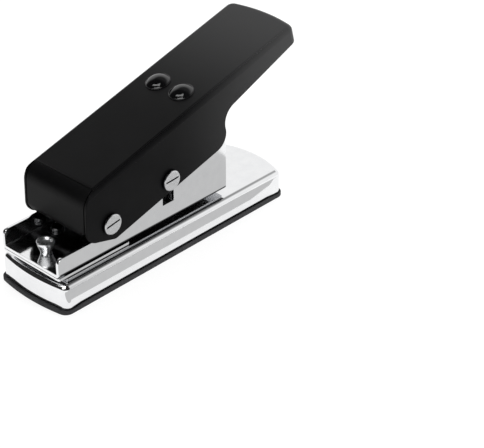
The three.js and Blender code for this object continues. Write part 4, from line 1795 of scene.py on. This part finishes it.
    def rivets(self) -> Piece:
        """Sets the two domed rivets in the lever's top.

        Returns:
            The piece.
        """
        seat = self.top + self.seat_gap
        tail_top = self.top - self.sheet - self.brace_thickness - 2 * self.seat_gap
        head = self.rivet_head / 2
        dome_radius = (head * head + self.rivet_dome * self.rivet_dome) / (2 * self.rivet_dome)
        spread = math.asin(head / dome_radius)
        steps = 16
        dome = [Corner(head, seat), Corner(head, seat + self.rivet_rim, self.rivet_rim / 2)]
        for step in range(1, steps):
            angle = spread * (1 - step / steps)
            height = seat + self.rivet_dome - dome_radius * (1 - math.cos(angle))
            dome.append(Corner(dome_radius * math.sin(angle), height))
        stock = smooth(turned("stock_rivet", [
            Corner(0, tail_top - self.rivet_tail_thickness),
            Corner(self.rivet_tail / 2, tail_top - self.rivet_tail_thickness, self.rivet_rim),
            Corner(self.rivet_tail / 2, tail_top),
            Corner(self.rivet_shank / 2, tail_top),
            Corner(self.rivet_shank / 2, seat),
            *dome,
            Corner(0, seat + self.rivet_dome),
        ]))
        places = [
            self.place @ Vector((self.rivet_u, side.value * self.rivet_spacing / 2, 0)) for side in Side
        ]
        finish = self.finishes.of(self.finishes.rivet_paint)
        return repeated("lever_rivets", stock, places, finish, rest_tilt())


@dataclass
class PinSet:
    """The pivot and the drive pin: barrel nuts, slotted screws and nylon washers."""

    finishes: Finishes
    head: float = 9.5 * MM
    head_thickness: float = 1.3 * MM
    head_chamfer: float = 0.45 * MM
    head_edge: float = 0.12 * MM
    screw_shank: float = 3.8 * MM
    screw_reach: float = 20 * MM
    bore_reach: float = 22 * MM
    bore_clearance: float = 0.1 * MM
    slot_width: float = 0.75 * MM
    slot_length: float = 7.4 * MM
    slot_depth: float = 0.8 * MM
    slot_rise: float = 0.4 * MM
    pivot_slot_turn: float = math.radians(9)
    drive_slot_turn: float = math.radians(-12)
    seat_gap: float = 0.1 * MM

    def build(self) -> None:
        """Builds and dresses both pins."""
        self.reach = Room.of("lever_shell").size.y / 2 + self.seat_gap
        hinge, drive = hinge_place(), Room.of("drive_barrel").centre
        for name, body, diameter, centre, turn, slot_turn in (
            ("pivot", Body.BASE, PIVOT_DIAMETER, hinge, 0.0, self.pivot_slot_turn),
            ("drive", Body.LEVER, DRIVE_DIAMETER, drive, rest_tilt(), self.drive_slot_turn),
        ):
            place = Matrix.Translation((centre.x, 0, centre.z)) @ Matrix.Rotation(-turn, 4, "Y")
            barrel = moved(self.barrel(f"{name}_nut", diameter), place)
            self.finishes.fit(barrel, body, self.finishes.barrel_steel, f"{name}_barrel")
            screw = moved(self.screw(f"{name}_screw_head", slot_turn), place)
            self.finishes.fit(screw, body, self.finishes.screw_steel, f"{name}_screw")
        for side in Side:
            self.finishes.dress(f"pivot_washer_{side.name.lower()}", self.finishes.nylon)

    def barrel(self, name: str, diameter: float) -> Piece:
        """Turns a barrel nut whose head is on the far side.

        Args:
            name: The piece's name.
            diameter: The barrel's diameter.

        Returns:
            The piece.
        """
        bore = self.screw_shank / 2 + self.bore_clearance
        barrel = turned(name, [
            Corner(0, -self.reach + self.bore_reach),
            Corner(bore, -self.reach + self.bore_reach),
            Corner(bore, -self.reach),
            Corner(diameter / 2, -self.reach),
            Corner(diameter / 2, self.reach),
            Corner(self.head / 2, self.reach, self.head_edge),
            Corner(self.head / 2, self.reach + self.head_thickness - self.head_chamfer, self.head_edge),
            Corner(self.head / 2 - self.head_chamfer, self.reach + self.head_thickness, self.head_edge),
            Corner(0, self.reach + self.head_thickness),
        ])
        return moved(smooth(barrel), ALONG_Y)

    def screw(self, name: str, slot_turn: float) -> Piece:
        """Turns a slotted screw whose head is on the near side.

        Args:
            name: The piece's name.
            slot_turn: How far its slot is turned from level.

        Returns:
            The piece.
        """
        seat = -self.reach - self.seat_gap
        face = seat - self.head_thickness
        screw = turned(name, [
            Corner(0, face),
            Corner(self.head / 2 - self.head_chamfer, face, self.head_edge),
            Corner(self.head / 2, face + self.head_chamfer, self.head_edge),
            Corner(self.head / 2, seat, self.head_edge),
            Corner(self.screw_shank / 2, seat),
            Corner(self.screw_shank / 2, seat + self.screw_reach),
            Corner(0, seat + self.screw_reach),
        ])
        moved(screw, ALONG_Y)
        half, end = self.slot_width / 2, self.slot_length / 2
        outline = rectangle(-end, end, self.slot_rise - half, self.slot_rise + half, half)
        depths = (face - OVERRUN, face + self.slot_depth)
        slot = loft("cutter", [[Vector((point.x, y, point.y)) for point in outline] for y in depths])
        moved(slot, Matrix.Rotation(-slot_turn, 4, "Y"))
        combine(screw, slot)
        return soften(screw, self.head_edge / 2)


@dataclass
class ToolSet:
    """The pick-shaped punch, its carrier and their two screws."""

    finishes: Finishes
    pick: Pick
    cutting_edge: float = 0.05 * MM
    carrier_edge: float = 0.3 * MM
    screw_edge: float = 0.3 * MM
    socket: float = 3 * MM
    socket_depth: float = 1.3 * MM
    shank: float = 3.6 * MM
    head_height: float = 2.4 * MM

    def build(self) -> None:
        """Builds and dresses the tool."""
        looks = self.finishes
        room = Room.of("pick_punch")
        outline = shifted(self.pick.outline(), room.centre.x, 0)
        punch = smooth(plate("punch", outline, room.low.z, room.high.z, self.cutting_edge))
        looks.fit(punch, Body.PUNCH, looks.tool_steel, "pick_punch")
        carrier = softened_copy("punch_carrier", "carrier", self.carrier_edge)
        looks.fit(carrier, Body.PUNCH, looks.tool_steel, "punch_carrier")
        screws = ("carrier_screw_front", "carrier_screw_rear")
        looks.fit(self.screws(screws), Body.PUNCH, looks.pin_steel, *screws)

    def screws(self, nodes: tuple[str, ...]) -> Piece:
        """Turns the two socket screws, each with a six-sided socket.

        Args:
            nodes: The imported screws.

        Returns:
            The piece.
        """
        room = Room.of(nodes[0])
        seat = room.high.z - self.head_height
        stock = turned("stock_screw", [
            Corner(0, room.low.z),
            Corner(self.shank / 2, room.low.z, self.screw_edge),
            Corner(self.shank / 2, seat),
            Corner(room.size.x / 2, seat),
            Corner(room.size.x / 2, room.high.z, self.screw_edge),
            Corner(0, room.high.z),
        ])
        socket = circle(self.socket / math.cos(math.pi / SOCKET_SIDES), 0, 0, SOCKET_SIDES)
        combine(stock, prism(socket, room.high.z - self.socket_depth, room.high.z + OVERRUN))
        places = [Vector((centre.x, 0, 0)) for centre in centres(nodes)]
        finish = self.finishes.of(self.finishes.pin_steel)
        return repeated("carrier_screws", smooth(stock), places, finish)


# Studio and camera


@dataclass(frozen=True)
class Card:
    """A flat card that shows only in reflections, with its height and corners in millimetres."""

    name: str
    shade: float
    height: float
    corners: tuple[tuple[float, float], ...]

    def lay(self) -> None:
        """Lays the card."""
        card = link(self.name, bpy.data.meshes.new(self.name))
        places = [(x * MM, y * MM, self.height * MM) for x, y in self.corners]
        card.data.from_pydata(places, [], [tuple(reversed(range(len(places))))])
        graph = Shading(self.name)
        glow = graph.add("ShaderNodeEmission", (self.shade, self.shade, self.shade, 1.0))
        card.data.materials.append(graph.show(glow.outputs[0]))
        card.visible_camera = False
        card.visible_diffuse = False
        card.visible_shadow = False


CARDS = (
    Card("pale_card", 0.6, 0.1, (
        (-81.1, -27.0), (48.0, -27.0), (64.0, -29.5), (74.0, -34.0),
        (67.0, -47.0), (74.0, -76.0), (-71.2, -85.1),
    )),
    Card("dark_card", 0.01, 0.1, ((-71.6, -83.9), (63.5, -85.7), (59.7, -133.3), (-75.2, -129.9))),
    Card("near_window", 3.5, 600.0, (
        (-90.0, -120.0), (-230.0, -60.0), (-340.0, 46.0), (-390.0, 230.0),
        (-600.0, 397.0), (-537.0, 87.0), (-380.0, -110.0), (-300.0, -260.0), (-142.0, -184.0),
    )),
    Card("far_window", 3.5, 600.0, (
        (-350.0, -326.0), (-615.0, -155.0), (-787.0, 53.0),
        (-1634.0, 110.0), (-1277.0, -322.0), (-672.0, -626.0),
    )),
)


@dataclass(frozen=True)
class Lamp:
    """A large round soft lamp that aims at the origin and shows in no reflection."""

    name: str
    place: tuple[float, float, float]
    size: float
    power: float = 6.0

    def hang(self) -> None:
        """Hangs the lamp."""
        data = bpy.data.lights.new(self.name, "AREA")
        data.shape = "DISK"
        data.size = self.size
        data.energy = self.power
        lamp = link(self.name, data)
        lamp.location = self.place
        lamp.rotation_mode = "QUATERNION"
        lamp.rotation_quaternion = (-Vector(self.place)).to_track_quat("-Z", "Y")
        lamp.visible_glossy = False
        lamp.visible_camera = False


# One lamp over the punch and one in front of it
LAMPS = (Lamp("key", (0.35, 0.35, 0.95), 0.8), Lamp("fill", (0.35, -0.85, 0.4), 0.6))


@dataclass
class Studio:
    """The pale floor, the white surroundings, the cards, the lamps and the camera."""

    eye: Vector = field(default_factory=lambda: Vector((-393.398, -418.72, 366.46)) * MM)
    target: Vector = field(default_factory=lambda: Vector((2.462, -50.37, 24.09)) * MM)
    roll: float = math.radians(0.206)
    focal_length: float = 1529.95
    image_width: float = 484.0
    sensor: float = 36.0
    clip: tuple[float, float] = (0.01, 20.0)
    floor_reach: float = 3.0
    floor_glow: float = 0.86
    floor_colour: tuple[float, ...] = (0.8, 0.8, 0.8, 1.0)
    floor_faint: tuple[float, ...] = (0.2, 0.2, 0.2, 1.0)
    world_light: float = 0.5
    backdrop_way: tuple[float, float, float] = (0.95, 0.3, 0.0)
    backdrop_edge: tuple[float, ...] = (0.0, 0.42, 0.024, 1.0)
    overhead_edge: tuple[float, ...] = (0.6, 0.85, 1.0, 0.16)

    def build(self) -> None:
        """Sets up the whole studio."""
        self.camera()
        self.floor()
        self.world()
        for lamp in LAMPS:
            lamp.hang()
        for card in CARDS:
            card.lay()
        bpy.context.scene.view_settings.view_transform = "Standard"

    def camera(self) -> None:
        """Places the camera at the photograph's viewpoint."""
        data = bpy.data.cameras.new("camera")
        data.sensor_width = self.sensor
        data.lens = self.sensor * self.focal_length / self.image_width
        data.clip_start, data.clip_end = self.clip
        camera = link("camera", data)
        aim = (self.target - self.eye).to_track_quat("-Z", "Y").to_matrix().to_4x4()
        camera.matrix_world = Matrix.Translation(self.eye) @ aim @ Matrix.Rotation(self.roll, 4, "Z")
        bpy.context.scene.camera = camera

    def floor(self) -> None:
        """Lays the pale floor, which shows white and keeps the punch's shadow."""
        floor = link("floor", bpy.data.meshes.new("floor"))
        reach = self.floor_reach
        places = [(-reach, -reach, 0), (reach, -reach, 0), (reach, reach, 0), (-reach, reach, 0)]
        floor.data.from_pydata(places, [], [(0, 1, 2, 3)])
        graph = Shading("floor")
        plain = graph.add("ShaderNodeBsdfDiffuse", self.floor_colour)
        faint = graph.add("ShaderNodeBsdfDiffuse", self.floor_faint)
        glow = graph.add("ShaderNodeEmission", WHITE, self.floor_glow)
        lit = graph.add("ShaderNodeAddShader", faint.outputs[0], glow.outputs[0])
        seen = ("Is Camera Ray", "Is Glossy Ray", "Is Transmission Ray")
        floor.data.materials.append(graph.show(graph.for_rays(seen, lit.outputs[0], plain.outputs[0])))

    def world(self) -> None:
        """Lights the punch from all round, bright behind it and dim above and in front."""
        world = bpy.data.worlds.new("studio")
        world.use_nodes = True
        bpy.context.scene.world = world
        graph = Graph(world.node_tree)
        direction = graph.add("ShaderNodeTexCoord").outputs["Generated"]
        towards = graph.vector("DOT_PRODUCT", direction, self.backdrop_way, result="Value")
        behind = graph.ranged(towards, *self.backdrop_edge)
        height = graph.add("ShaderNodeSeparateXYZ", direction).outputs["Z"]
        above = graph.ranged(height, *self.overhead_edge)
        glossy = graph.add("ShaderNodeBackground", WHITE, graph.math("MULTIPLY", behind, above))
        soft = graph.tree.nodes["Background"]
        graph.feed(soft.inputs["Color"], WHITE)
        graph.feed(soft.inputs["Strength"], self.world_light)
        white = graph.add("ShaderNodeBackground", WHITE)
        lit = graph.for_rays(("Is Glossy Ray",), glossy.outputs[0], soft.outputs[0])
        shown = graph.for_rays(("Is Camera Ray", "Is Transmission Ray"), white.outputs[0], lit)
        graph.feed(graph.tree.nodes["World Output"].inputs["Surface"], shown)


# Everything together


def main() -> None:
    """Loads the frame, builds every sub-assembly and sets up the studio."""
    logging.basicConfig(level=logging.INFO, format="%(name)s: %(message)s")
    for leftover in list(bpy.data.objects):
        bpy.data.objects.remove(leftover)
    FRAME.update(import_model())
    finishes = Finishes()
    pick = Pick()
    BaseSet(finishes, pick).build()
    FrameSet(finishes, pick).build()
    LeverSet(finishes).build()
    PinSet(finishes).build()
    ToolSet(finishes, pick).build()
    Studio().build()


if __name__ == "__main__":
    main()
